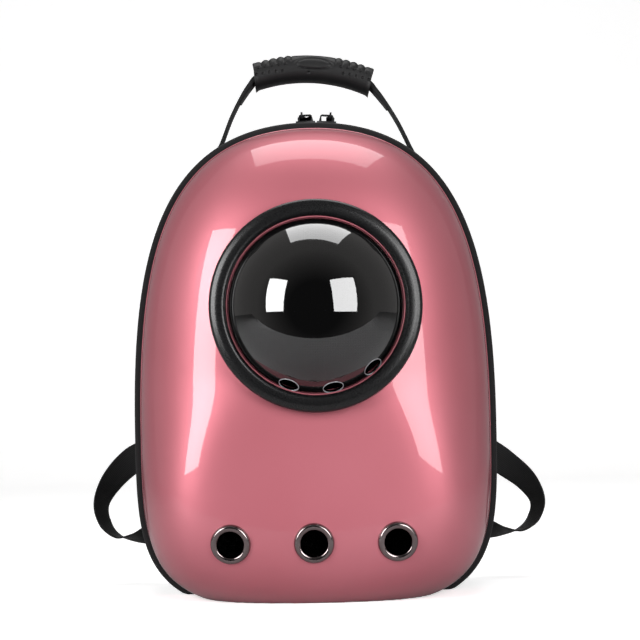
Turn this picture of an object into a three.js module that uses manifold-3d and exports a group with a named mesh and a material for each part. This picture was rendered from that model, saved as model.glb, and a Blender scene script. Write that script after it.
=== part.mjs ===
// A hard-shell pet carrier backpack with a domed window, standing on its flat foot.
// Lengths are millimetres. X runs across the bag, -Y is its front, where the window is, and +Z is up.
// The origin is on the ground, under the middle of the zip band.

import * as THREE from "three";
import { mergeVertices } from "three/addons/utils/BufferGeometryUtils.js";
import Module from "manifold-3d";

const wasm = await Module();
wasm.setup();

const CLEARANCE = 0.3; // between pieces that touch

// The outline seen from the front: two curves a side, from the foot to the widest height and to the crown
const BODY = {
  height: 406,
  halfWidth: 153,
  widestHeight: 144,
  crownReach: 130, // how far the crown's curve runs level before it turns down
  sideRise: 150, // how far the side's curve runs upright above the widest height
  sideDrop: 113, // and below it
  footReach: 154, // how far the foot's curve runs level
  footSink: 15, // how deep the curve would run below the ground, where the flat foot cuts it off
};

// The front shell: a moulded wall that swells from its rear edge to the front face
const SHELL = {
  depth: 110,
  wall: 2.5,
  beadOut: 1.2, // the rounded bead along the rear edge stands this far out of the wall
  beadDepth: 4,
  swellHeight: 198, // the height of the point that the front face swells from
  sideFullness: 3.4, // higher is boxier
  crownFullness: 4.2,
  footFullness: 10,
};

// The domed window and the ring that clamps it
const WINDOW = {
  aside: 2.2, // its middle lies a little to the right of the bag's
  height: 250,
  tiltDegrees: 3.5, // the pane leans back
  recess: 1, // how far its seat lies behind the front face's highest point
  radius: 74,
  rise: 51,
  wall: 2.5,
  skirt: 1, // the upright stretch between the flange and the dome
  flangeWidth: 5,
  flangeThickness: 2,
  openingLip: 4, // how far the shell's opening is smaller than the dome
  ventRadius: 8,
  ventDown: 62, // degrees from the dome's crown to a vent
  ventStep: 30.5, // degrees round the dome between vents
  ventTurn: 11, // degrees that the row of vents is turned round, as the dome was clamped
  ventCount: 3,
};
const RING = { width: 14.5, proud: 9, lipDepth: 3.4, round: 4.2, skirtDepth: 16 };

// Metal eyelets low on the front face
const EYELET = {
  count: 3,
  spacing: 69.5,
  aside: -2.7, // the row's middle lies a little to the left
  height: 53.3,
  boreRadius: 11.2,
  barrelWall: 0.9,
  flangeRadius: 17,
  flangeThickness: 2.6,
  washerRadius: 15.5,
  reach: 6.4, // how far the barrel and its washer reach behind the shell's face
  seat: 1.6, // how far the flange's edge laps down over the curved face
};

// Black edging, zip and soft rear half, from the shell's rear edge backwards
const PIPING = { width: 7, out: 5.5, inside: 3 };
const ZIP = {
  bandWidth: 26,
  bandOut: 2.2,
  bandThickness: 2,
  teethWidth: 7,
  teethHeight: 2.4,
  teethStart: 0.12, // share of the way round, from the middle of the foot, where the teeth begin
};
const GUSSET = { depth: 50, wall: 3, rearIn: 8 };
const PANEL = { thickness: 11, edgeRound: 4 };

// Zip sliders and their pull tabs, nose to nose on the crown
const SLIDER = { length: 17.2, width: 11, height: 2.6, apart: 18.4, noseWidth: 6.5, meetAt: 5.4 };
const BRIDGE = { footLength: 14, topLength: 10.4, height: 6.4, bar: 1.7, thickness: 2.6 };
const PULL = {
  length: 30,
  width: 7.5,
  thickness: 1.8,
  eyeRadius: 3.2,
  eyeBore: 2,
  eyeShift: 3.2, // from the bridge's middle, outwards
  slopeDegrees: 17, // below level, as it lies back over the bag
};

// Grab handle: a strap sewn to the crown, through a moulded grip
const HANDLE = {
  halfSpan: 52, // of the grip
  gripHeight: 57.5, // grip's middle above the shell's crown
  gripAside: 3.7, // it hangs a little to the right
  gripSag: 10, // the ends lie this far below the middle
  gripLeanDegrees: 3.7, // it hangs a little lower on the right
  gripEndDegrees: 7.5, // its ends lean apart by this much each
  gripThickness: 24.5,
  gripDepth: 33,
  ribHeight: 1.6,
  strapWidth: 25,
  strapThickness: 2.4,
  slotClearance: 1.8, // round the strap, inside the grip
  legOut: 6, // from the grip's end to where the leg turns down
  legDrop: 8,
  footHalfSpan: 89.5, // where the strap meets the bag
  footAside: 5.5, // both feet are sewn this far to the right
  footLength: 17,
  footBend: 3, // the leg turns into its sewn foot over this length
  footRise: 7,
};

// Padded shoulder straps, their buckles, and the webbing that loops out beside the bag
const STRAP = {
  topDown: 62, // below the bag's crown
  topSpread: 42,
  endHeight: 165,
  endSpread: 122,
  bow: 32, // how far the strap's middle stands off the back
  width: 58,
  endWidth: 30,
  thickness: 10,
};
const BUCKLE = {
  width: 36,
  length: 28,
  thickness: 4,
  corner: 5,
  bar: 3.2,
  slot: 7,
  slotWidth: 28,
  standOff: 2.5, // from the strap's end
};
const WEBBING = { width: 25, thickness: 1.5, hookRadius: 3.9, tail: 42, tabOverlap: 8 };
const LOOPS = {
  // reach: how far the webbing stands out beyond the back's edge. stretch: how much higher it stands
  left: { side: -1, reach: 60, anchorHeight: 48, stretch: 1.12 },
  right: { side: 1, reach: 64, anchorHeight: 47, stretch: 1 },
};

// How finely the shapes are cut
const STEPS = {
  outline: 52,
  shell: 8,
  window: 36,
  domeOutside: 6,
  domeInside: 4,
  eyelet: 14,
  grip: 24,
  strap: 12,
  ribbon: 2,
};

const MATERIALS = {
  shell: new THREE.MeshStandardMaterial({ color: 0xd47a86, roughness: 0.12, metalness: 0.25 }),
  window: new THREE.MeshStandardMaterial({
    color: 0x17171a,
    roughness: 0.04,
    transparent: true,
    opacity: 0.72,
  }),
  ring: new THREE.MeshStandardMaterial({ color: 0x1d1d20, roughness: 0.55 }),
  eyelet: new THREE.MeshStandardMaterial({ color: 0x6e6467, roughness: 0.22, metalness: 1 }),
  fabric: new THREE.MeshStandardMaterial({ color: 0x121214, roughness: 0.9 }),
  webbing: new THREE.MeshStandardMaterial({ color: 0x151517, roughness: 0.8 }),
  zip: new THREE.MeshStandardMaterial({ color: 0x131315, roughness: 0.45 }),
  grip: new THREE.MeshStandardMaterial({ color: 0x242428, roughness: 0.6 }),
};

const radians = THREE.MathUtils.degToRad;

// Closed surfaces and solids

// Turns a closed geometry's faces outwards, if they point in.
function outward(geometry) {
  const at = geometry.getAttribute("position");
  const index = geometry.index.array;
  const [a, b, c] = [new THREE.Vector3(), new THREE.Vector3(), new THREE.Vector3()];
  let volume = 0;
  for (let i = 0; i < index.length; i += 3) {
    a.fromBufferAttribute(at, index[i]);
    b.fromBufferAttribute(at, index[i + 1]);
    c.fromBufferAttribute(at, index[i + 2]);
    volume += a.dot(b.cross(c));
  }
  if (volume < 0) {
    for (let i = 0; i < index.length; i += 3) {
      [index[i + 1], index[i + 2]] = [index[i + 2], index[i + 1]];
    }
  }
  return geometry;
}

function middle(ring) {
  const sum = ring.reduce((total, p) => total.add(p), new THREE.Vector3());
  return sum.divideScalar(ring.length);
}

// Skins rings that have as many points each. A loop joins its last ring to its first. Any other stack
// is closed at both ends by a fan about a pole. A ribbon's two faces are split along the same
// diagonals, so that it keeps its thickness where it twists.
function skin(rings, { loop = false, poles = null, ribbon = false } = {}) {
  const size = rings[0].length;
  const points = rings.flat();
  const index = [];
  const bands = loop ? rings.length : rings.length - 1;
  for (let r = 0; r < bands; r++) {
    const next = (r + 1) % rings.length;
    for (let i = 0; i < size; i++) {
      const j = (i + 1) % size;
      const [a, b] = [r * size + i, r * size + j];
      const [d, c] = [next * size + i, next * size + j];
      index.push(...(ribbon && i >= size / 2 ? [a, b, d, b, c, d] : [a, b, c, a, c, d]));
    }
  }
  if (!loop) {
    const ends = poles ?? [middle(rings[0]), middle(rings.at(-1))];
    ends.forEach((pole, end) => {
      const first = end ? (rings.length - 1) * size : 0;
      points.push(pole);
      for (let i = 0; i < size; i++) {
        const [a, b] = [first + i, first + ((i + 1) % size)];
        index.push(...(end ? [a, b] : [b, a]), points.length - 1);
      }
    });
  }
  const geometry = new THREE.BufferGeometry().setFromPoints(points);
  geometry.setIndex(index);
  return outward(geometry);
}

function solidOf(geometry) {
  const bare = geometry.clone();
  bare.deleteAttribute("normal");
  bare.deleteAttribute("uv");
  const merged = mergeVertices(bare, 1e-3);
  return new wasm.Manifold(
    new wasm.Mesh({
      numProp: 3,
      vertProperties: new Float32Array(merged.getAttribute("position").array),
      triVerts: new Uint32Array(merged.index.array),
    }),
  );
}

function geometryOf(solid) {
  const mesh = solid.getMesh();
  const geometry = new THREE.BufferGeometry();
  geometry.setAttribute("position", new THREE.BufferAttribute(mesh.vertProperties, 3));
  geometry.setIndex(new THREE.BufferAttribute(mesh.triVerts, 1));
  return geometry;
}

function cut(geometry, cutters) {
  const left = cutters.reduce((rest, cutter) => rest.subtract(solidOf(cutter)), solidOf(geometry));
  return geometryOf(left);
}

function lathe(profile, steps) {
  return new THREE.LatheGeometry(profile, steps);
}

// The frame of a piece that is turned about its own Y axis, which points along the given direction.
function turnedFrame(at, direction) {
  const turn = new THREE.Quaternion();
  turn.setFromUnitVectors(new THREE.Vector3(0, 1, 0), direction);
  return new THREE.Matrix4().compose(at, turn, new THREE.Vector3(1, 1, 1));
}

// The bag's outline

const outlinePath = new THREE.Path()
  .moveTo(0, -BODY.footSink)
  .bezierCurveTo(
    BODY.footReach, -BODY.footSink,
    BODY.halfWidth, BODY.widestHeight - BODY.sideDrop,
    BODY.halfWidth, BODY.widestHeight,
  )
  .bezierCurveTo(
    BODY.halfWidth, BODY.widestHeight + BODY.sideRise,
    BODY.crownReach, BODY.height,
    0, BODY.height,
  )
  .bezierCurveTo(
    -BODY.crownReach, BODY.height,
    -BODY.halfWidth, BODY.widestHeight + BODY.sideRise,
    -BODY.halfWidth, BODY.widestHeight,
  )
  .bezierCurveTo(
    -BODY.halfWidth, BODY.widestHeight - BODY.sideDrop,
    -BODY.footReach, -BODY.footSink,
    0, -BODY.footSink,
  );

// Points evenly spaced round the outline, each with its outward direction, from the middle of the foot
// up the right side.
function outlinePoints(count) {
  const spaced = outlinePath.getSpacedPoints(count).slice(0, count);
  return spaced.map((p, i) => {
    const before = spaced[(i + count - 1) % count];
    const after = spaced[(i + 1) % count];
    const along = after.clone().sub(before).normalize();
    return { x: p.x, z: p.y, outX: along.y, outZ: -along.x };
  });
}

const outline = outlinePoints(STEPS.outline);
const fineOutline = outlinePoints(STEPS.outline * 8);

// A ring round the bag at one depth, moved out of the outline, and cut off flat at the floor.
function bagRing(y, out, floor = 0, points = outline) {
  return points.map(
    (p) => new THREE.Vector3(p.x + p.outX * out, y, Math.max(p.z + p.outZ * out, floor)),
  );
}

// The highest point of the outline above x, and how steeply it falls there.
function crownAt(x, out) {
  const ring = bagRing(0, out, 0, fineOutline).filter((p) => p.z > BODY.widestHeight);
  const order = ring.sort((a, b) => a.x - b.x);
  const after = Math.max(1, order.findIndex((p) => p.x > x));
  const [a, b] = [order[after - 1], order[after]];
  const share = (x - a.x) / (b.x - a.x);
  return { z: a.z + (b.z - a.z) * share, slope: Math.atan2(b.z - a.z, b.x - a.x) };
}

// The front shell's surface

function fullness(upward) {
  const end = upward > 0 ? SHELL.crownFullness : SHELL.footFullness;
  return SHELL.sideFullness + (end - SHELL.sideFullness) * upward ** 2;
}

// One ring of the shell. The swell runs from 0 at the bead to 1, a quarter turn, at the front's middle.
function shellRing(swell, inset, floor) {
  const reach = SHELL.depth - SHELL.beadDepth - inset;
  const angle = (swell * Math.PI) / 2;
  const y = -SHELL.beadDepth - reach * Math.sin(angle);
  return bagRing(0, -SHELL.beadOut - inset, -Infinity).map((p) => {
    const rise = p.z - SHELL.swellHeight;
    const upward = rise / Math.hypot(p.x, rise);
    const share = Math.cos(angle) ** (2 / fullness(upward));
    return new THREE.Vector3(
      p.x * share,
      y,
      Math.max(SHELL.swellHeight + rise * share, floor),
    );
  });
}

function shellRings(inset, floor) {
  const rings = [];
  for (let k = 0; k < STEPS.shell; k++) {
    rings.push(shellRing(k / STEPS.shell, inset, floor));
  }
  return rings;
}

function shellPole(inset) {
  return new THREE.Vector3(0, inset - SHELL.depth, SHELL.swellHeight);
}

// The depth of the shell's face at a place seen from the front, and the face's outward direction there.
function shellFaceAt(x, z) {
  const depthAt = (px, pz) => {
    const rise = pz - SHELL.swellHeight;
    const angle = Math.atan2(rise, px);
    const edge = fineOutline.reduce((best, p) => {
      const off = Math.atan2(p.z - SHELL.swellHeight, p.x) - angle;
      const gap = Math.abs(Math.atan2(Math.sin(off), Math.cos(off)));
      return gap < best.gap ? { gap, p } : best;
    }, { gap: Infinity }).p;
    const edgeReach = Math.hypot(edge.x, edge.z - SHELL.swellHeight) - SHELL.beadOut;
    const share = Math.min(1, Math.hypot(px, rise) / edgeReach);
    const swell = Math.sqrt(1 - share ** fullness(Math.sin(angle)));
    return -SHELL.beadDepth - (SHELL.depth - SHELL.beadDepth) * swell;
  };
  const probe = EYELET.flangeRadius / 2;
  const slopeX = (depthAt(x + probe, z) - depthAt(x - probe, z)) / (2 * probe);
  const slopeZ = (depthAt(x, z + probe) - depthAt(x, z - probe)) / (2 * probe);
  return {
    at: new THREE.Vector3(x, depthAt(x, z), z),
    out: new THREE.Vector3(slopeX, -1, slopeZ).normalize(),
  };
}

// The space that the shell's outer or inner face encloses, closed off behind.
function shellEnvelope(inset, floor) {
  const behind = bagRing(PIPING.width, -SHELL.beadOut - inset, floor);
  return skin([behind, ...shellRings(inset, floor)], {
    poles: [new THREE.Vector3(0, PIPING.width, SHELL.swellHeight), shellPole(inset)],
  });
}

function frontShellGeometry() {
  const outside = [
    bagRing(0, 0),
    bagRing(SHELL.beadOut - SHELL.beadDepth, 0),
    ...shellRings(0, 0),
  ];
  const inside = [
    ...shellRings(SHELL.wall, SHELL.wall).reverse(),
    bagRing(0, -SHELL.beadOut - SHELL.wall, SHELL.wall),
  ];
  const whole = skinWall(outside, shellPole(0), inside, shellPole(SHELL.wall));
  const holes = [windowCutter(), ...eyeletPlaces().map(eyeletCutter)];
  return cut(whole, holes);
}

// A cup's wall: rings from the mouth's edge to a pole outside, and from a pole back to the mouth inside.
function skinWall(outside, outerPole, inside, innerPole) {
  return skin([...inside, ...outside], { poles: [innerPole, outerPole] });
}

// The window

const windowFrame = turnedFrame(
  new THREE.Vector3(WINDOW.aside, WINDOW.recess - SHELL.depth, WINDOW.height),
  new THREE.Vector3(
    0,
    -Math.cos(radians(WINDOW.tiltDegrees)),
    Math.sin(radians(WINDOW.tiltDegrees)),
  ),
);

function windowCutter() {
  const radius = WINDOW.radius - WINDOW.openingLip;
  const hole = new THREE.CylinderGeometry(radius, radius, SHELL.depth, STEPS.window);
  return hole.applyMatrix4(windowFrame);
}

const domeBase = WINDOW.flangeThickness + WINDOW.skirt;
const domeRadius = (WINDOW.radius ** 2 + WINDOW.rise ** 2) / (2 * WINDOW.rise);
const domeCentre = domeBase + WINDOW.rise - domeRadius;

// Points down one face of the dome, from its crown to the given height.
function domeArc(radius, lowest, steps) {
  const end = Math.acos((lowest - domeCentre) / radius);
  const points = [];
  for (let k = 0; k <= steps; k++) {
    const angle = (end * k) / steps;
    const r = k ? radius * Math.sin(angle) : 0;
    points.push(new THREE.Vector2(r, domeCentre + radius * Math.cos(angle)));
  }
  return points;
}

function domeGeometry() {
  const flange = WINDOW.radius + WINDOW.flangeWidth;
  const profile = [
    ...domeArc(domeRadius - WINDOW.wall, 0, STEPS.domeInside),
    new THREE.Vector2(flange, 0),
    new THREE.Vector2(flange, WINDOW.flangeThickness),
    new THREE.Vector2(WINDOW.radius, WINDOW.flangeThickness),
    ...domeArc(domeRadius, domeBase, STEPS.domeOutside).reverse(),
  ];
  const vents = [];
  for (let k = 0; k < WINDOW.ventCount; k++) {
    const turn = radians(WINDOW.ventTurn + WINDOW.ventStep * (k - (WINDOW.ventCount - 1) / 2));
    const down = radians(WINDOW.ventDown);
    // the frame's Z axis points down the bag's front
    const direction = new THREE.Vector3(
      Math.sin(down) * Math.sin(turn),
      Math.cos(down),
      Math.sin(down) * Math.cos(turn),
    );
    const at = direction.clone().multiplyScalar(domeRadius).setY(
      domeCentre + domeRadius * direction.y,
    );
    const vent = new THREE.CylinderGeometry(
      WINDOW.ventRadius, WINDOW.ventRadius, WINDOW.wall * 8, STEPS.eyelet,
    );
    vents.push(vent.applyMatrix4(turnedFrame(at, direction)));
  }
  return cut(outward(mergeVertices(bareLathe(profile, STEPS.window))), vents);
}

// A lathe's surface with only its positions, so that its seam and poles can merge.
function bareLathe(profile, steps) {
  const geometry = lathe(profile, steps);
  geometry.deleteAttribute("normal");
  geometry.deleteAttribute("uv");
  return geometry;
}

function ringGeometry() {
  const outer = WINDOW.radius + RING.width;
  const groove = WINDOW.radius + WINDOW.flangeWidth + CLEARANCE;
  const lip = WINDOW.radius + CLEARANCE;
  const lipBase = WINDOW.flangeThickness + CLEARANCE;
  const lipTop = lipBase + RING.lipDepth;
  const shoulder = lip + RING.round;
  const profile = [
    [groove, -RING.skirtDepth],
    [groove, lipBase],
    [lip, lipBase],
    [lip, lipTop],
    [lip + RING.round * 0.3, lipTop + (RING.proud - lipTop) * 0.7],
    [shoulder, RING.proud],
    [outer - RING.round, RING.proud],
    [outer - RING.round * 0.3, RING.proud - RING.round * 0.3],
    [outer, RING.proud - RING.round],
    [outer, -RING.skirtDepth],
    [groove, -RING.skirtDepth],
  ].map(([r, y]) => new THREE.Vector2(r, y));
  const face = shellEnvelope(-CLEARANCE, -Infinity).applyMatrix4(windowFrame.clone().invert());
  return cut(outward(mergeVertices(bareLathe(profile, STEPS.window))), [face]);
}

// The eyelets

function eyeletPlaces() {
  const places = [];
  for (let k = 0; k < EYELET.count; k++) {
    const x = EYELET.aside + EYELET.spacing * (k - (EYELET.count - 1) / 2);
    const face = shellFaceAt(x, EYELET.height);
    places.push(turnedFrame(face.at, face.out));
  }
  return places;
}

function eyeletCutter(place) {
  const radius = EYELET.boreRadius + EYELET.barrelWall + CLEARANCE;
  const hole = new THREE.CylinderGeometry(radius, radius, EYELET.reach * 4, STEPS.eyelet);
  return hole.applyMatrix4(place);
}

function eyeletGeometry(place) {
  const { boreRadius: bore, flangeRadius: flange, flangeThickness: top } = EYELET;
  const crest = (bore + flange) / 2;
  const profile = [
    [bore, -EYELET.reach],
    [EYELET.washerRadius, -EYELET.reach],
    [EYELET.washerRadius, -EYELET.seat],
    [flange, -EYELET.seat],
    [flange, top * 0.3],
    [crest + top * 0.5, top],
    [crest - top * 0.5, top],
    [bore, top * 0.3],
    [bore, -EYELET.reach],
  ].map(([r, y]) => new THREE.Vector2(r, y));
  // what the shell's wall, grown by the clearance, leaves of the eyelet outside its barrel
  const wall = solidOf(shellEnvelope(-CLEARANCE, -Infinity)).subtract(
    solidOf(shellEnvelope(SHELL.wall + CLEARANCE, -Infinity)),
  );
  const barrel = bore + EYELET.barrelWall + CLEARANCE / 2;
  const core = new THREE.CylinderGeometry(barrel, barrel, EYELET.reach * 8, STEPS.eyelet);
  const around = wall.subtract(solidOf(core.applyMatrix4(place)));
  const grown = geometryOf(around).applyMatrix4(place.clone().invert());
  return cut(outward(mergeVertices(bareLathe(profile, STEPS.eyelet))), [grown]);
}

// Edging, zip band, teeth and the soft rear half

// A band round the bag: rows of depth and how far out, down its outer face and back up its inner face.
function bandGeometry(outerRows, innerRows, floor) {
  return skin(
    [
      ...outerRows.map(({ y, out }) => bagRing(y, out)),
      ...innerRows.map(({ y, out }) => bagRing(y, out, floor)).reverse(),
    ],
    { loop: true },
  );
}

const pipingStart = CLEARANCE;
const zipStart = pipingStart + PIPING.width + CLEARANCE;
const gussetStart = zipStart + ZIP.bandWidth + CLEARANCE;
const panelStart = gussetStart + GUSSET.depth + CLEARANCE;
const zipMiddle = zipStart + ZIP.bandWidth / 2;
const panelBack = panelStart + PANEL.thickness;

function pipingGeometry() {
  const { width, out, inside } = PIPING;
  return bandGeometry(
    [
      { y: pipingStart, out: out * 0.4 },
      { y: pipingStart + width * 0.3, out },
      { y: pipingStart + width * 0.7, out },
      { y: pipingStart + width, out: out * 0.4 },
    ],
    [
      { y: pipingStart, out: -inside },
      { y: pipingStart + width, out: -inside },
    ],
    SHELL.wall,
  );
}

function zipBandGeometry() {
  const edges = [zipStart, zipStart + ZIP.bandWidth];
  return bandGeometry(
    edges.map((y) => ({ y, out: ZIP.bandOut })),
    edges.map((y) => ({ y, out: ZIP.bandOut - ZIP.bandThickness })),
    ZIP.bandThickness,
  );
}

// The teeth run up one side, over the crown and down the other, and stop short of the foot.
function zipTeethGeometry() {
  const first = Math.round(STEPS.outline * ZIP.teethStart);
  const low = ZIP.bandOut + CLEARANCE;
  const high = low + ZIP.teethHeight;
  const half = ZIP.teethWidth / 2;
  const section = [
    { y: -half, out: low },
    { y: half, out: low },
    { y: half * 0.7, out: high },
    { y: -half * 0.7, out: high },
  ];
  const stations = outline.slice(first, STEPS.outline - first + 1).map((p) =>
    section.map(
      ({ y, out }) =>
        new THREE.Vector3(p.x + p.outX * out, zipMiddle + y, p.z + p.outZ * out),
    ),
  );
  return skin(stations);
}

function gussetGeometry() {
  // along: share of the gusset's depth. out: share of the piping's height. back: share of the rear inset.
  const rows = [
    { along: 0, out: 0.4, back: 0 },
    { along: 0.04, out: 1, back: 0 },
    { along: 0.1, out: 1, back: 0 },
    { along: 0.14, out: 0.5, back: 0 },
    { along: 0.5, out: 0.5, back: 0.1 },
    { along: 0.8, out: 0.3, back: 0.4 },
    { along: 1, out: 0, back: 1 },
  ].map(({ along, out, back }) => ({
    y: gussetStart + GUSSET.depth * along,
    out: PIPING.out * out - GUSSET.rearIn * back,
  }));
  const bed = PIPING.out * 0.35 - GUSSET.wall;
  const inside = [
    { y: gussetStart, out: bed },
    { y: gussetStart + GUSSET.depth * 0.55, out: bed },
    { y: gussetStart + GUSSET.depth, out: -GUSSET.rearIn - GUSSET.wall },
  ];
  return bandGeometry(rows, inside, GUSSET.wall);
}

function backPanelGeometry() {
  const edge = -GUSSET.rearIn;
  const round = PANEL.edgeRound;
  const rows = [
    { y: panelStart, out: edge },
    { y: panelBack - round * 1.5, out: edge },
    { y: panelBack - round * 0.4, out: edge - round },
    { y: panelBack, out: edge - round * 4 },
  ];
  const centre = (y) => new THREE.Vector3(0, y, SHELL.swellHeight);
  return skin(rows.map(({ y, out }) => bagRing(y, out, Math.max(0, (y - panelStart) * 0.4))), {
    poles: [centre(panelStart), centre(panelBack)],
  });
}

// Strips that are swept along a route

// A strip through stations that each hold a place, the direction of the strip's width, a width and a
// thickness. Its section has flat faces, or rounded edges where it is padded.
function stripGeometry(stations, padded = false) {
  const section = padded
    ? [[-1, 0.3], [-0.8, 0.9], [0, 1], [0.8, 0.9], [1, 0.3], [1, -0.3],
       [0.8, -0.9], [0, -1], [-0.8, -0.9], [-1, -0.3]]
    : [[-1, 1], [1, 1], [1, -1], [-1, -1]];
  const rings = stations.map((station, k) => {
    const before = stations[Math.max(0, k - 1)].at;
    const after = stations[Math.min(stations.length - 1, k + 1)].at;
    const along = after.clone().sub(before).normalize();
    const across = station.across.clone();
    across.addScaledVector(along, -across.dot(along)).normalize();
    const through = along.clone().cross(across);
    return section.map(([u, v]) =>
      station.at.clone()
        .addScaledVector(across, (u * station.width) / 2)
        .addScaledVector(through, (v * station.thickness) / 2),
    );
  });
  return skin(rings, { ribbon: true });
}

// Spaces stations along a smooth curve through a few rows.
function stationsThrough(rows, steps) {
  const route = new THREE.CatmullRomCurve3(rows.map((row) => row.at), false, "centripetal");
  const stations = [];
  for (let k = 0; k <= steps; k++) {
    const place = (k / steps) * (rows.length - 1);
    const i = Math.min(rows.length - 2, Math.floor(place));
    const share = place - i;
    const [a, b] = [rows[i], rows[i + 1]];
    stations.push({
      at: route.getPoint(k / steps),
      across: a.across.clone().lerp(b.across, share),
      width: THREE.MathUtils.lerp(a.width, b.width, share),
      thickness: THREE.MathUtils.lerp(a.thickness, b.thickness, share),
    });
  }
  return stations;
}

// The grab handle

const handleDepth = gussetStart + GUSSET.depth * 0.45;
const gripMiddle = BODY.height + HANDLE.gripHeight;
const gripRadius = (HANDLE.halfSpan ** 2 + HANDLE.gripSag ** 2) / (2 * HANDLE.gripSag);

function gripPoint(share) {
  const angle = share * Math.asin(HANDLE.halfSpan / gripRadius);
  return new THREE.Vector3(gripRadius * Math.sin(angle), 0, gripRadius * (Math.cos(angle) - 1))
    .applyAxisAngle(new THREE.Vector3(0, 1, 0), radians(HANDLE.gripLeanDegrees))
    .add(new THREE.Vector3(HANDLE.gripAside, handleDepth, gripMiddle));
}

function gripLean(share) {
  return radians(HANDLE.gripLeanDegrees + HANDLE.gripEndDegrees * share);
}

// Half of the strap's route, from the middle of the grip down one leg to its sewn foot.
function handleRows(side) {
  const thickness = HANDLE.strapThickness;
  const seat = PIPING.out * 0.55 + CLEARANCE + thickness / 2;
  const across = new THREE.Vector3(0, 1, 0);
  const row = (at) => ({ at, across, width: HANDLE.strapWidth, thickness });
  const footAt = (along) => {
    const x = side * (HANDLE.footHalfSpan + along) + HANDLE.footAside;
    return new THREE.Vector3(x, handleDepth, crownAt(Math.abs(x), seat).z);
  };
  const legTop = gripPoint(side).add(new THREE.Vector3(side * HANDLE.legOut, 0, -HANDLE.legDrop));
  const legFoot = footAt(0).add(new THREE.Vector3(-side * HANDLE.footBend, 0, HANDLE.footRise));
  const grip = [0, 0.33, 0.66, 0.95].map((share) => row(gripPoint(side * share)));
  return [
    ...grip,
    row(legTop),
    row(legTop.clone().lerp(legFoot, 0.5).add(new THREE.Vector3(side * 1.5, 0, 1))),
    row(legFoot),
    row(footAt(HANDLE.footBend)),
    row(footAt(HANDLE.footLength * 0.5)),
    row(footAt(HANDLE.footLength)),
  ];
}

function handleStrapGeometry() {
  const rows = [...handleRows(-1).reverse(), ...handleRows(1).slice(1)];
  return stripGeometry(stationsThrough(rows, (rows.length - 1) * STEPS.ribbon));
}

// The grip is a sleeve round the strap, with ribs over its top on both sides of a smooth middle.
function gripGeometry() {
  const steps = STEPS.grip;
  const sides = 10;
  const ribs = 5;
  const smoothHalf = 0.36;
  const ring = (share, high, deep, ribbed) => {
    const centre = gripPoint(share);
    const lean = gripLean(share);
    const ribPlace = ((Math.abs(share) - smoothHalf) / (1 - smoothHalf)) * ribs;
    const rib = ribbed && ribPlace > 0 ? HANDLE.ribHeight * Math.cos(ribPlace * 2 * Math.PI) : 0;
    const points = [];
    for (let i = 0; i < sides; i++) {
      const angle = (2 * Math.PI * i) / sides;
      const up = Math.sin(angle) * high + (Math.sin(angle) > 0.3 ? rib / 2 : 0);
      points.push(
        new THREE.Vector3(
          centre.x + Math.sin(lean) * up,
          centre.y + Math.cos(angle) * deep,
          centre.z + Math.cos(lean) * up,
        ),
      );
    }
    return points;
  };
  const outside = [];
  for (let k = 0; k <= steps; k++) {
    const share = (2 * k) / steps - 1;
    outside.push(ring(share, HANDLE.gripThickness / 2, HANDLE.gripDepth / 2, true));
  }
  const sleeve = skin(outside);
  const slotHigh = HANDLE.strapThickness / 2 + HANDLE.slotClearance;
  const slotDeep = HANDLE.strapWidth / 2 + HANDLE.slotClearance;
  const slot = [];
  const slotSteps = 12;
  for (let k = -1; k <= slotSteps + 1; k++) {
    const share = (2 * k) / slotSteps - 1;
    const centre = gripPoint(share);
    const lean = gripLean(share);
    slot.push(
      [[-1, -1], [1, -1], [1, 1], [-1, 1]].map(
        ([deep, high]) =>
          new THREE.Vector3(
            centre.x + Math.sin(lean) * high * slotHigh,
            centre.y + deep * slotDeep,
            centre.z + Math.cos(lean) * high * slotHigh,
          ),
      ),
    );
  }
  return cut(sleeve, [skin(slot)]);
}

// Zip sliders and pull tabs

const teethTop = ZIP.bandOut + CLEARANCE + ZIP.teethHeight;

// A slider's group stands on the teeth and leans with the crown.
function sliderGroup(side) {
  const group = new THREE.Group();
  const x = SLIDER.meetAt + (side * SLIDER.apart) / 2;
  const crown = crownAt(x, teethTop + CLEARANCE);
  group.position.set(x, zipMiddle, crown.z);
  group.rotation.y = -crown.slope;
  return group;
}

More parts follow.
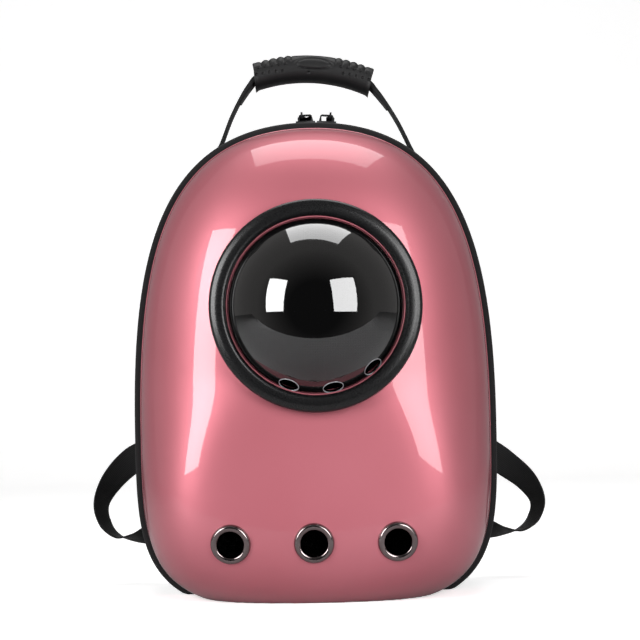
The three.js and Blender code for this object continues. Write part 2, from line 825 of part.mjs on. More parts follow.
function sliderGeometry(side) {
  const { length, width, height, noseWidth } = SLIDER;
  const plate = new THREE.Shape([
    new THREE.Vector2(-length / 2, -width / 2),
    new THREE.Vector2(length * 0.1, -width / 2),
    new THREE.Vector2(length / 2, -noseWidth / 2),
    new THREE.Vector2(length / 2, noseWidth / 2),
    new THREE.Vector2(length * 0.1, width / 2),
    new THREE.Vector2(-length / 2, width / 2),
  ]);
  const plateSolid = solidOf(new THREE.ExtrudeGeometry(plate, { depth: height, bevelEnabled: false }));
  const { footLength, topLength, bar, thickness } = BRIDGE;
  const high = BRIDGE.height;
  const arch = new THREE.Shape([
    new THREE.Vector2(-footLength / 2, 0),
    new THREE.Vector2(footLength / 2, 0),
    new THREE.Vector2(topLength / 2 + bar * 0.3, high - bar * 0.5),
    new THREE.Vector2(topLength / 2 - bar * 0.5, high),
    new THREE.Vector2(-topLength / 2 + bar * 0.5, high),
    new THREE.Vector2(-topLength / 2 - bar * 0.3, high - bar * 0.5),
  ]);
  arch.holes.push(
    new THREE.Path([
      new THREE.Vector2(-topLength / 2 + bar * 0.3, high - bar),
      new THREE.Vector2(topLength / 2 - bar * 0.3, high - bar),
      new THREE.Vector2(footLength / 2 - bar * 1.5, bar * 0.3),
      new THREE.Vector2(-footLength / 2 + bar * 1.5, bar * 0.3),
    ]),
  );
  const archGeometry = new THREE.ExtrudeGeometry(arch, { depth: thickness, bevelEnabled: false });
  archGeometry.translate(0, 0, -thickness / 2);
  archGeometry.rotateX(Math.PI / 2);
  archGeometry.translate(0, 0, height - bar * 0.2);
  const whole = geometryOf(plateSolid.add(solidOf(archGeometry)));
  return side > 0 ? whole.rotateZ(Math.PI) : whole;
}

const bridgeBarHeight = SLIDER.height - BRIDGE.bar * 0.2 + BRIDGE.height - BRIDGE.bar / 2;

// A pull tab: an upright eye round the bridge's bar, and a flat tab behind it.
function pullGeometry() {
  const { length, width, thickness, eyeRadius, eyeBore } = PULL;
  const eye = new THREE.Shape().absarc(0, 0, eyeRadius, 0, 2 * Math.PI);
  eye.holes.push(new THREE.Path().absarc(0, 0, eyeBore, 0, 2 * Math.PI, true));
  const eyeGeometry = new THREE.ExtrudeGeometry(eye, {
    depth: thickness, bevelEnabled: false, curveSegments: 6,
  });
  eyeGeometry.translate(0, 0, -thickness / 2);
  eyeGeometry.rotateY(Math.PI / 2);
  const start = eyeRadius * 0.8;
  const tab = new THREE.Shape([
    new THREE.Vector2(-thickness / 2, start),
    new THREE.Vector2(thickness / 2, start),
    new THREE.Vector2(width / 2, start + width * 0.5),
    new THREE.Vector2(width / 2, length - width * 0.2),
    new THREE.Vector2(width * 0.3, length),
    new THREE.Vector2(-width * 0.3, length),
    new THREE.Vector2(-width / 2, length - width * 0.2),
    new THREE.Vector2(-width / 2, start + width * 0.5),
  ]);
  const tabGeometry = new THREE.ExtrudeGeometry(tab, { depth: thickness, bevelEnabled: false });
  tabGeometry.translate(0, 0, -thickness / 2);
  return geometryOf(solidOf(eyeGeometry).add(solidOf(tabGeometry)));
}

// Shoulder straps, buckles and looping webbing

function shoulderStrapRows(side) {
  const top = BODY.height - STRAP.topDown;
  const rest = panelBack + CLEARANCE + STRAP.thickness / 2;
  // down: share of the way down. spread: share of the way out. off: share of the bow. wide: share from
  // the strap's width to its end's width. thick: share of the padding.
  const table = [
    { down: 0, spread: 0, off: 0, wide: 0.25, thick: 1 },
    { down: 0.08, spread: 0.03, off: 0.1, wide: 0.08, thick: 1 },
    { down: 0.3, spread: 0.22, off: 0.72, wide: 0, thick: 1 },
    { down: 0.56, spread: 0.5, off: 1, wide: 0.1, thick: 1 },
    { down: 0.78, spread: 0.76, off: 0.86, wide: 0.4, thick: 1 },
    { down: 0.92, spread: 0.91, off: 0.6, wide: 0.85, thick: 0.6 },
    { down: 1, spread: 1, off: 0.44, wide: 1, thick: 0.5 },
  ];
  const places = table.map(({ down, spread, off }) =>
    new THREE.Vector3(
      side * THREE.MathUtils.lerp(STRAP.topSpread, STRAP.endSpread, spread),
      rest + STRAP.bow * off,
      THREE.MathUtils.lerp(top, STRAP.endHeight, down),
    ),
  );
  return table.map(({ wide, thick }, k) => {
    const before = places[Math.max(0, k - 1)];
    const after = places[Math.min(places.length - 1, k + 1)];
    const across = after.clone().sub(before).setY(0).cross(new THREE.Vector3(0, 1, 0)).normalize();
    return {
      at: places[k],
      across,
      width: THREE.MathUtils.lerp(STRAP.width, STRAP.endWidth, wide),
      thickness: STRAP.thickness * thick,
    };
  });
}

// The buckle's frame at the strap's end: X across it, Y along the strap and Z out of its face.
function buckleFrame(side) {
  const [before, end] = stationsThrough(shoulderStrapRows(side), STEPS.strap).slice(-2);
  const along = end.at.clone().sub(before.at).normalize();
  const across = along.clone().cross(new THREE.Vector3(0, 1, 0)).normalize();
  const outOfFace = across.clone().cross(along);
  const at = end.at.clone().addScaledVector(along, BUCKLE.standOff + BUCKLE.length / 2);
  return new THREE.Matrix4().makeBasis(across, along, outOfFace).setPosition(at);
}

// A ribbon round one of the buckle's bars: in on the side of the bag, round the bar, and out on the
// outer side. An end of -1 is the bar at the strap, and 1 the one away from it.
function rowsRoundBar(side, end, reachIn, reachOut) {
  const frame = buckleFrame(side);
  const across = new THREE.Vector3().setFromMatrixColumn(frame, 0);
  const hook = WEBBING.hookRadius;
  const bar = BUCKLE.length / 2 - BUCKLE.bar / 2;
  // beyond: from the bar's middle, away from the buckle. off: out of the buckle's face.
  const table = [
    { beyond: reachIn, off: -hook },
    { beyond: hook * 0.3, off: -hook },
    { beyond: -hook * 0.7, off: -hook * 0.75 },
    { beyond: -hook, off: 0 },
    { beyond: -hook * 0.7, off: hook * 0.75 },
    { beyond: hook * 0.3, off: hook },
    { beyond: reachOut, off: hook + Math.max(0, reachOut - WEBBING.width) * 0.15 },
  ];
  return table.map(({ beyond, off }) => ({
    at: new THREE.Vector3(0, end * (bar + beyond), off).applyMatrix4(frame),
    across: across.clone(),
    width: WEBBING.width,
    thickness: WEBBING.thickness,
  }));
}

function roundedRectangle(width, length, radius) {
  const [x, y] = [width / 2, length / 2];
  return new THREE.Shape()
    .moveTo(-x + radius, -y)
    .lineTo(x - radius, -y)
    .quadraticCurveTo(x, -y, x, -y + radius)
    .lineTo(x, y - radius)
    .quadraticCurveTo(x, y, x - radius, y)
    .lineTo(-x + radius, y)
    .quadraticCurveTo(-x, y, -x, y - radius)
    .lineTo(-x, -y + radius)
    .quadraticCurveTo(-x, -y, -x + radius, -y);
}

function buckleGeometry() {
  const { width, length, thickness, corner, bar, slot, slotWidth } = BUCKLE;
  const plate = roundedRectangle(width, length, corner);
  for (const end of [-1, 1]) {
    const near = end * (length / 2 - bar);
    const far = near - end * slot;
    plate.holes.push(
      new THREE.Path([
        new THREE.Vector2(-slotWidth / 2, near),
        new THREE.Vector2(slotWidth / 2, near),
        new THREE.Vector2(slotWidth / 2, far),
        new THREE.Vector2(-slotWidth / 2, far),
      ]),
    );
  }
  const geometry = new THREE.ExtrudeGeometry(plate, {
    depth: thickness, bevelEnabled: false, curveSegments: 3,
  });
  return geometry.translate(0, 0, -thickness / 2);
}

// The webbing's route: sewn to the back's lower corner, out beside the bag, up to the buckle, round its
// lower bar and down again as a short tail.
function webbingRows({ side, reach, anchorHeight, stretch }) {
  const hooked = rowsRoundBar(side, 1, WEBBING.width * 0.7, WEBBING.tail);
  const edge = sideAt(anchorHeight);
  const rest = panelBack + CLEARANCE + WEBBING.thickness / 2;
  const exit = hooked[0].at;
  // out: share of the reach beyond the bag's edge. up: share of the rise. back: share of the way from
  // the back panel to the buckle. turn: degrees, 90 with the flat side to the front, 0 edge on.
  const table = [
    { out: -0.75, up: 0, back: 0.04, turn: -90 },
    { out: -0.22, up: 0, back: 0.12, turn: -90 },
    { out: 0, up: -0.01, back: 0.42, turn: -82 },
    { out: 0.25, up: -0.04, back: 0.2, turn: -52 },
    { out: 0.5, up: -0.07, back: -0.2, turn: -22 },
    { out: 0.76, up: -0.05, back: -0.3, turn: 3 },
    { out: 0.94, up: 0.08, back: -0.3, turn: 18 },
    { out: 1, up: 0.27, back: -0.2, turn: 28 },
    { out: 0.85, up: 0.5, back: 0.1, turn: 50 },
    { out: 0.5, up: 0.74, back: 0.5, turn: 75 },
  ];
  const places = table.map(({ out, up, back }) =>
    new THREE.Vector3(
      side * (edge + reach * out),
      rest + (exit.y - rest) * back,
      THREE.MathUtils.lerp(anchorHeight, exit.z, up * stretch),
    ),
  );
  const route = [...places, exit];
  const loop = table.map(({ turn }, k) => {
    const direction = route[k + 1].clone().sub(route[Math.max(0, k - 1)]).normalize();
    const deep = new THREE.Vector3(0, 1, 0);
    deep.addScaledVector(direction, -deep.dot(direction)).normalize();
    const flat = direction.clone().cross(deep).multiplyScalar(side);
    const across = deep.multiplyScalar(Math.cos(radians(turn)));
    across.addScaledVector(flat, Math.sin(radians(turn)));
    return { ...hooked[0], at: places[k], across };
  });
  // the loop's width may point the other way from the buckle's
  const sign = Math.sign(loop.at(-1).across.dot(hooked[0].across));
  loop.forEach((row) => row.across.multiplyScalar(sign));
  return [...loop, ...hooked];
}

// Half the width of the back panel at a height.
function sideAt(height) {
  const ring = bagRing(0, -GUSSET.rearIn, 0, fineOutline);
  const near = ring.reduce((best, p) =>
    p.x > 0 && Math.abs(p.z - height) < Math.abs(best.z - height) ? p : best,
  );
  return near.x;
}

// The assembly

function piece(name, geometry, material) {
  const mesh = new THREE.Mesh(geometry, material);
  mesh.name = name;
  return mesh;
}

function framed(matrix, ...children) {
  const group = new THREE.Group();
  group.applyMatrix4(matrix);
  group.add(...children);
  return group;
}

const carrier = new THREE.Group();
const bag = new THREE.Group();
bag.position.y = -zipMiddle;
carrier.add(bag);

bag.add(piece("front_shell", frontShellGeometry(), MATERIALS.shell));
bag.add(
  framed(
    windowFrame,
    piece("window_dome", domeGeometry(), MATERIALS.window),
    piece("window_ring", ringGeometry(), MATERIALS.ring),
  ),
);

const eyeletNames = ["eyelet_left", "eyelet_middle", "eyelet_right"];
eyeletPlaces().forEach((place, k) => {
  bag.add(framed(place, piece(eyeletNames[k], eyeletGeometry(place), MATERIALS.eyelet)));
});

bag.add(piece("edge_piping", pipingGeometry(), MATERIALS.fabric));
bag.add(piece("zip_band", zipBandGeometry(), MATERIALS.fabric));
bag.add(piece("zip_teeth", zipTeethGeometry(), MATERIALS.zip));
bag.add(piece("rear_gusset", gussetGeometry(), MATERIALS.fabric));
bag.add(piece("back_panel", backPanelGeometry(), MATERIALS.fabric));
bag.add(piece("handle_strap", handleStrapGeometry(), MATERIALS.webbing));
bag.add(piece("handle_grip", gripGeometry(), MATERIALS.grip));

for (const [hand, loop] of Object.entries(LOOPS)) {
  const { side } = loop;
  const slider = sliderGroup(side);
  slider.add(piece(`zip_slider_${hand}`, sliderGeometry(side), MATERIALS.zip));
  const pull = piece(`zip_pull_${hand}`, pullGeometry(), MATERIALS.zip);
  pull.position.set(side * PULL.eyeShift, 0, bridgeBarHeight);
  pull.rotation.x = -radians(PULL.slopeDegrees);
  slider.add(pull);
  bag.add(slider);

  const strap = stripGeometry(stationsThrough(shoulderStrapRows(side), STEPS.strap), true);
  bag.add(piece(`shoulder_strap_${hand}`, strap, MATERIALS.fabric));
  const tab = stripGeometry(rowsRoundBar(side, -1, WEBBING.tabOverlap, WEBBING.tabOverlap));
  bag.add(piece(`strap_tab_${hand}`, tab, MATERIALS.webbing));
  bag.add(
    framed(buckleFrame(side), piece(`strap_buckle_${hand}`, buckleGeometry(), MATERIALS.grip)),
  );
  const rows = webbingRows(loop);
  const webbing = stripGeometry(stationsThrough(rows, (rows.length - 1) * STEPS.ribbon));
  bag.add(piece(`strap_webbing_${hand}`, webbing, MATERIALS.webbing));
}

export default carrier;
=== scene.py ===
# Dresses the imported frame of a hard-shell pet carrier backpack with its fine pieces, cloth and finishes.
# Lengths are metres. X runs across the bag, -Y is its front, where the window is, and +Z is up.

import math
from functools import cache
from types import SimpleNamespace

import bmesh
import bpy
import numpy as np
from bpy.props import FloatProperty, FloatVectorProperty, IntProperty, PointerProperty
from mathutils import Matrix, Vector


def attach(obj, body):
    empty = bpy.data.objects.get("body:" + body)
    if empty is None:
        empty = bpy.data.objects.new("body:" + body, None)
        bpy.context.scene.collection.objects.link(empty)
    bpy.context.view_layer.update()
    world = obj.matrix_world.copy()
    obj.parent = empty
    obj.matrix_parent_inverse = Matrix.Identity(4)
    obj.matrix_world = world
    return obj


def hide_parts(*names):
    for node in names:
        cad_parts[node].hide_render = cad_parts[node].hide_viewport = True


bl_info = {
    "name": "Domed pet carrier",
    "version": (1, 0, 0),
    "blender": (4, 5, 0),
    "location": "3D View > Sidebar > Carrier",
    "description": "Builds the looks of a hard-shell pet carrier backpack round its fixed frame",
    "category": "Object",
}

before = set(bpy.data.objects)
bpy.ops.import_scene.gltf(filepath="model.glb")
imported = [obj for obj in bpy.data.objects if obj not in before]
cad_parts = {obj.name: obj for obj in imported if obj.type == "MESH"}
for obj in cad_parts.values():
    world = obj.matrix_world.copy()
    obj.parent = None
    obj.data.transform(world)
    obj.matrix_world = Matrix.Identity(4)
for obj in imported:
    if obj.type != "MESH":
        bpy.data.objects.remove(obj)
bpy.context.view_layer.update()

CLEARANCE = 0.0003  # between pieces that touch
SIDES = {"left": -1, "right": 1}

# How finely the shapes are cut
OUTLINE_STEPS = 288
FINE_OUTLINE_STEPS = 1600
SHELL_ROWS = 76
LINING_ROWS = 26
LATHE_STEPS = 192
RIBBON_STEPS_A_ROW = 10
BUCKLE_STEPS = 12  # the shoulder strap's stations that set the buckle's place
CURVE_STEPS = 600  # on each of the outline's four curves
SWELL_STEPS = 500  # on the shell's face, from its rim to its middle
BEAD_ROWS = 11
EYELET_STEPS = 96
VENT_RIM_STEPS = 72
PIPING_ROWS = 17
GUSSET_ROWS = 34
PANEL_STEPS = 200
PANEL_BINDING_ROWS = 12
MARGIN_STEPS = 400
POINTS_AT_ONCE = 4000
SEATING_ROUNDS = 6
TINY = 1e-9
GRIP_STATIONS = 176
GRIP_SECTIONS = 281
SLOT_SECTIONS = 21
SLEEVE_STEPS = 60
PAD_STEPS = 66
COIL_STEPS = 1440
SEAM_STEPS = 1200

# The grip's form and its moulded marks
GRIP = {
    "boxiness": 2.4, "smooth_half": 0.36, "ribs": 5, "ribs_from": 0.30, "ribs_fade": 0.35,
    "lip_width": 0.0017, "lip_height": 0.0010, "lip_out": 0.0014,
}
# rows of dimples on each side: where the row starts, its step, and its height at both ends
DIMPLES = {
    "upper": (0.0240, 0.0059, 0.0042, 0.0060),
    "lower": (0.0268, 0.0058, -0.0015, 0.0008),
}
DIMPLES_A_ROW = 5
DIMPLE_RADIUS = 0.0013
DIMPLE_DEPTH = 0.0014
OVAL = {"along": 0.0005, "up": 0.0040, "half_length": 0.0154, "half_height": 0.0050}
OVAL_GROOVE = {"depth": 0.0012, "width": 0.0006}
OVAL_PLATE = 0.00025  # how far the oval's plate lies under the grip's face
PIN_MARK = (-0.0036, -0.0043)

# Soft goods
SUNK_SHARE = 0.4  # how far the window's ring sinks into the shell, as a share of its wall
WELT_SHARE = 0.16  # how much of the side wall's depth its front welt takes
# height of a fold, folds round the bag, how far they slant, and where they start
FOLDS = ((0.00055, 23, 5.0, 0.0), (0.0004, 41, -9.0, 1.3), (0.00035, 67, 12.0, 0.7))
LEG_BOW = (0.0015, 0.001)  # how far the middle of a handle's leg bows out and up
SLEEVE = {
    "stretch": slice(6, 40), "wider": 0.0012, "over": 0.0008,
    "thickness": (0.0036, 0.0072, 0.0058, 0.0031, 0.0029),
}
STITCH = {"Pitch": 0.0034, "Stitch": 0.0025, "Thread": 0.00055}
SINK = 0.00012  # how far a stitch sinks into the cloth
UNEVEN = 0.04  # how far stitches and teeth differ in size
BOX_SHARE = 0.38  # half the width of a sewn box, as a share of its strap's
SEAM = {
    "from_edge": 0.0022, "welt": 0.135, "rear": 0.955, "foot": 0.0105, "from_strap_edge": 0.0064,
    "hem": (0.0085, 0.0045), "anchor": 0.012, "tab_stations": (6, 12), "across_tab": 0.86, "across_hem": 0.84,
    "pad_share": 0.445, "off": 0.0006, "handle_box": 0.0078, "webbing_box": 0.0085,
}
HEM = {"length": 0.011, "thicker": 1.8}
STRAP_BINDING = {"inset": 0.0022, "width": 0.0058, "share": 0.80, "over": 0.0008}
PANEL_PAD = {"voxel": 0.005, "pressure": 3.0, "most": 0.005}
STRAP_PAD = {
    "voxel": 0.0035, "pressure": 5.0, "most": 0.003, "slimmer": 0.003, "thinner": 0.84,
    "held_edge": 0.0055, "held_ends": (0.010, 0.008), "pressed": 0.62, "pressed_share": 0.09,
}
CLOTH_FRAMES = 20
CLOTH = {"tension_stiffness": 30, "bending_stiffness": 1.0, "quality": 6}

# Camera, lights and floor
CAMERA = {"across": 0.0056, "height": 0.238, "distance": 2.0, "frame": 0.56, "roll": 1.1, "sensor": 36.0}
# name: place, where it points, width, height, power
SOFTBOXES = {
    "softbox_over": ((0.05, 0.28, 1.62), (0.02, -0.04, 0.26), 1.10, 0.86, 10.0),
    "softbox_left": ((-1.08, -1.03, 0.60), (0, -0.08, 0.24), 0.60, 0.92, 21.0),
    "softbox_right": ((0.80, -1.22, 0.58), (0, -0.08, 0.24), 0.74, 0.96, 18.0),
}
FLOOR_WHITE = {"seen": (0.92, 0.92, 0.92, 1), "bounced": (0.46, 0.46, 0.465, 1), "glow": 0.55}
FLOOR = {"front": -0.47, "half_width": 3.0, "flat_to": 1.3, "sweep": 0.7, "height": 3.2}
ROOM = {"front": (0.04, 0.04, 0.041, 1), "sides": (0.27, 0.262, 0.258, 1), "turns_pale": (-0.85, -0.25)}


# Sizes and colours that a user may change

def length(name, description, metres):
    return FloatProperty(
        name=name, description=description, default=metres, min=0.0,
        precision=4, unit="LENGTH", subtype="DISTANCE",
    )


def shift(name, description, metres):
    return FloatProperty(
        name=name, description=description, default=metres, precision=4, unit="LENGTH", subtype="DISTANCE",
    )


def angle(name, description, degrees):
    return FloatProperty(
        name=name, description=description, default=math.radians(degrees), unit="ROTATION", subtype="ANGLE",
    )


def ratio(name, description, value):
    return FloatProperty(name=name, description=description, default=value, min=0.0)


def colour(name, description, red, green, blue):
    return FloatVectorProperty(
        name=name, description=description, default=(red, green, blue),
        min=0.0, max=1.0, size=3, subtype="COLOR",
    )


class CarrierBody(bpy.types.PropertyGroup):
    """The bag's outline and its front shell"""

    height: length("Height", "Ground to the shell's crown", 0.406)
    half_width: length("Half width", "Middle to the widest place", 0.153)
    widest_height: length("Widest height", "Height of the widest place", 0.144)
    crown_reach: length("Crown reach", "How far the crown's curve runs level", 0.130)
    side_rise: length("Side rise", "How far the side's curve runs upright above the widest height", 0.150)
    side_drop: length("Side drop", "How far it runs upright below the widest height", 0.113)
    foot_reach: length("Foot reach", "How far the foot's curve runs level", 0.154)
    foot_sink: length("Foot sink", "How deep the outline would run below the ground", 0.015)
    depth: length("Shell depth", "Rear edge to the front face", 0.110)
    wall: length("Shell wall", "Thickness of the moulded wall", 0.0025)
    bead_out: length("Bead height", "How far the rear edge's bead stands out", 0.0012)
    bead_depth: length("Bead depth", "Depth of the rear edge's bead", 0.004)
    swell_height: length("Swell height", "Height of the place that the front face swells from", 0.198)
    side_fullness: ratio("Side fullness", "Higher is boxier", 3.4)
    crown_fullness: ratio("Crown fullness", "Higher is boxier", 4.2)
    foot_fullness: ratio("Foot fullness", "Higher is boxier", 10.0)


class CarrierWindow(bpy.types.PropertyGroup):
    """The domed window and the ring that clamps it"""

    aside: shift("Aside", "How far the window lies to the right of the bag's middle", 0.0022)
    height: length("Height", "Height of the window's middle", 0.250)
    tilt: angle("Tilt", "How far the pane leans back", 3.5)
    recess: length("Recess", "How far the seat lies behind the front face", 0.001)
    radius: length("Radius", "Radius of the dome's edge", 0.074)
    rise: length("Rise", "How far the dome stands out", 0.051)
    wall: length("Wall", "Thickness of the dome", 0.0025)
    skirt: length("Skirt", "Upright stretch between the flange and the dome", 0.001)
    flange_width: length("Flange width", "Width of the dome's clamped flange", 0.005)
    flange_thickness: length("Flange thickness", "Thickness of the clamped flange", 0.002)
    opening_lip: length("Opening lip", "How far the shell's opening is smaller than the dome", 0.004)
    vent_radius: length("Vent radius", "Radius of an air hole in the dome", 0.008)
    vent_chamfer: length("Vent chamfer", "Chamfer round an air hole", 0.0008)
    vent_down: angle("Vent angle", "From the dome's crown to an air hole", 62)
    vent_step: angle("Vent step", "Round the dome from one air hole to the next", 30.5)
    vent_turn: angle("Vent turn", "How far the row of air holes is turned round", 11)
    vent_count: IntProperty(name="Vents", description="Air holes in the dome", default=3, min=0)
    collar_height: length("Collar height", "Height of the rose collar over the dome's skirt", 0.0024)
    ring_width: length("Ring width", "Width of the clamping ring", 0.0145)
    ring_proud: length("Ring height", "How far the ring stands out of its seat", 0.009)
    ring_lip: length("Ring lip", "Height of the ring's inner lip", 0.0034)
    ring_crown: length("Ring crown", "How far the ring's face falls away to its outer edge", 0.0012)
    ring_round: length("Ring rounding", "Radius of the ring's shoulders", 0.0042)


class CarrierTrim(bpy.types.PropertyGroup):
    """Eyelets, edging and zip"""

    eyelet_count: IntProperty(name="Eyelets", description="Air eyelets in the shell", default=3, min=0)
    eyelet_spacing: length("Eyelet spacing", "From one eyelet to the next", 0.0695)
    eyelet_aside: shift("Eyelets aside", "How far their row lies to the right", -0.0027)
    eyelet_height: length("Eyelet height", "Height of the eyelets", 0.0533)
    eyelet_bore: length("Eyelet bore", "Radius of an eyelet's hole", 0.0112)
    eyelet_wall: length("Eyelet wall", "Thickness of an eyelet's barrel", 0.0009)
    eyelet_radius: length("Eyelet radius", "Outer radius of an eyelet's flange", 0.017)
    eyelet_proud: length("Eyelet height over the shell", "How far the flange stands out", 0.0026)
    eyelet_reach: length("Eyelet reach", "How far the barrel reaches behind the shell's face", 0.0064)
    eyelet_seat: length("Eyelet seat", "How far the flange's edge laps down", 0.0016)
    washer_radius: length("Washer radius", "Radius of an eyelet's rear washer", 0.0155)
    piping_width: length("Piping width", "Width of the black edging", 0.007)
    piping_out: length("Piping height", "How far the edging stands out of the outline", 0.0055)
    piping_inside: length("Piping inside", "How far the edging reaches into the bag", 0.003)
    band_width: length("Zip band width", "Width of both zip tapes together", 0.026)
    band_out: length("Zip band height", "How far the tapes stand out of the outline", 0.0022)
    band_thickness: length("Zip band thickness", "Thickness of the tapes", 0.002)
    teeth_width: length("Teeth width", "Width of the closed coil", 0.007)
    teeth_height: length("Teeth height", "Height of the coil", 0.0024)
    teeth_pitch: length("Teeth pitch", "From one turn of the coil to the next", 0.0014)
    teeth_start: ratio("Teeth start", "Share of the way round where the coil begins", 0.12)


class CarrierRear(bpy.types.PropertyGroup):
    """The soft rear half"""

    gusset_depth: length("Gusset depth", "Depth of the soft side wall", 0.050)
    gusset_wall: length("Gusset wall", "Thickness of the side wall", 0.003)
    rear_in: length("Rear inset", "How far the rear edge lies inside the outline", 0.008)
    side_bulge: length("Side bulge", "How far the webbing pushes the right side out", 0.0062)
    bulge_height: length("Bulge height", "Height of the middle of that bulge", 0.105)
    bulge_spread: length("Bulge spread", "How far it reaches up and down", 0.055)
    panel_thickness: length("Back thickness", "Thickness of the padded back", 0.011)
    panel_round: length("Back rounding", "Rounding of the padded back's edge", 0.004)


class CarrierHandle(bpy.types.PropertyGroup):
    """The grab handle"""

    half_span: length("Grip half span", "Half the length of the grip", 0.052)
    grip_height: length("Grip height", "Grip's middle above the shell's crown", 0.0575)
    grip_aside: shift("Grip aside", "How far the grip hangs to the right", 0.0037)
    grip_sag: length("Grip sag", "How far the grip's ends lie below its middle", 0.010)
    grip_lean: angle("Grip lean", "How far the grip hangs down to the right", 3.7)
    grip_end: angle("Grip end lean", "How far each of its ends leans out", 7.5)
    grip_thickness: length("Grip thickness", "Height of the grip's section", 0.0245)
    grip_depth: length("Grip depth", "Depth of the grip's section", 0.033)
    rib_height: length("Rib height", "Height of the ribs over the grip's top", 0.0016)
    strap_width: length("Strap width", "Width of the handle's strap", 0.025)
    strap_thickness: length("Strap thickness", "Thickness of the handle's strap", 0.0024)
    slot_clearance: length("Slot clearance", "Room round the strap inside the grip", 0.0018)
    leg_out: length("Leg reach", "From the grip's end to where a leg turns down", 0.006)
    leg_drop: length("Leg drop", "How far it drops over that reach", 0.008)
    foot_half_span: length("Foot half span", "Middle to where the strap meets the bag", 0.0895)
    foot_aside: shift("Feet aside", "How far both feet are sewn to the right", 0.0055)
    foot_length: length("Foot length", "Length of the strap's sewn foot", 0.017)
    foot_bend: length("Foot bend", "Length over which a leg turns into its foot", 0.003)
    foot_rise: length("Foot rise", "How far that bend stands off the bag", 0.007)


class CarrierStraps(bpy.types.PropertyGroup):
    """Shoulder straps, buckles and webbing"""

    top_down: length("Top drop", "Strap's top below the bag's crown", 0.062)
    top_spread: length("Top spread", "Middle to the strap's top", 0.042)
    end_height: length("End height", "Height of the strap's lower end", 0.165)
    end_spread: length("End spread", "Middle to the strap's lower end", 0.122)
    bow: length("Bow", "How far the strap's middle stands off the back", 0.032)
    width: length("Width", "Width of the padded strap", 0.058)
    end_width: length("End width", "Width of its lower end", 0.030)
    thickness: length("Thickness", "Thickness of the padding", 0.010)
    buckle_length: length("Buckle length", "Length of the ladder buckle", 0.028)
    buckle_bar: length("Buckle bar", "Width of the buckle's bars", 0.0032)
    buckle_stand_off: length("Buckle stand-off", "From the strap's end to the buckle", 0.0025)
    web_width: length("Webbing width", "Width of the adjusting webbing", 0.025)
    web_thickness: length("Webbing thickness", "Thickness of the webbing", 0.0015)
    hook_radius: length("Hook radius", "Radius of the webbing round a buckle's bar", 0.0039)
    tail: length("Tail", "Length of the webbing's free end", 0.042)
    tab_overlap: length("Tab overlap", "How far the tab lies on the strap", 0.008)
    left_reach: length("Left loop's reach", "How far the left loop stands out", 0.060)
    left_anchor: length("Left anchor height", "Height where the left webbing is sewn on", 0.048)
    left_stretch: ratio("Left loop's stretch", "How much higher the left loop stands", 1.12)
    right_reach: length("Right loop's reach", "How far the right loop stands out", 0.064)
    right_anchor: length("Right anchor height", "Height where the right webbing is sewn on", 0.047)
    right_stretch: ratio("Right loop's stretch", "How much higher the right loop stands", 1.0)


class CarrierColours(bpy.types.PropertyGroup):
    """Colours of the carrier's finishes"""

    lacquer: colour("Lacquer", "Rose lacquer of the shell", 0.54, 0.162, 0.200)
    lacquer_shade: colour("Lacquer shade", "Its deeper tone", 0.50, 0.14, 0.173)
    tint: colour("Window tint", "Smoke tint of the dome", 0.05, 0.05, 0.053)
    # Painted highlight: pale grey for the light caught on the air holes' edges.
    cut_edge: colour("Cut edges", "Polished edges of the dome's air holes", 0.30, 0.30, 0.32)
    ring: colour("Ring", "Satin black of the clamping ring", 0.005, 0.005, 0.0055)
    gunmetal: colour("Gunmetal", "Plated steel of the eyelets", 0.25, 0.205, 0.205)
    cloth: colour("Cloth", "Black cloth of the soft rear half", 0.0075, 0.0075, 0.0085)
    # Painted shade: this deeper tone stands in for the shade that falls in the hollows between threads,
    # between ribs and in the spacer mesh's cells.
    lining: colour("Cloth shade", "Deeper tone between the cloth's threads", 0.0025, 0.0025, 0.003)
    webbing: colour("Webbing", "Black webbing", 0.009, 0.009, 0.0095)
    rubber: colour("Grip", "Moulded rubber of the grip", 0.0065, 0.0065, 0.007)
    plastic: colour("Hard plastic", "Buckles and zip parts", 0.010, 0.010, 0.011)
    thread: colour("Thread", "Sewing thread", 0.020, 0.020, 0.022)


class CarrierSettings(bpy.types.PropertyGroup):
    """All of the carrier's sizes and colours"""

    body: PointerProperty(type=CarrierBody)
    window: PointerProperty(type=CarrierWindow)
    trim: PointerProperty(type=CarrierTrim)
    rear: PointerProperty(type=CarrierRear)
    handle: PointerProperty(type=CarrierHandle)
    straps: PointerProperty(type=CarrierStraps)
    colours: PointerProperty(type=CarrierColours)


def settings():
    return bpy.context.scene.carrier


def depths():
    """Where the bag's bands begin, behind the shell's rear edge."""
    trim = settings().trim
    rear = settings().rear
    piping = CLEARANCE
    band = piping + trim.piping_width + CLEARANCE
    gusset = band + trim.band_width + CLEARANCE
    panel = gusset + rear.gusset_depth + CLEARANCE
    return SimpleNamespace(
        piping=piping,
        band=band,
        middle=band + trim.band_width / 2,
        gusset=gusset,
        panel=panel,
        back=panel + rear.panel_thickness,
        handle=gusset + rear.gusset_depth * 0.45,
    )


# Curves

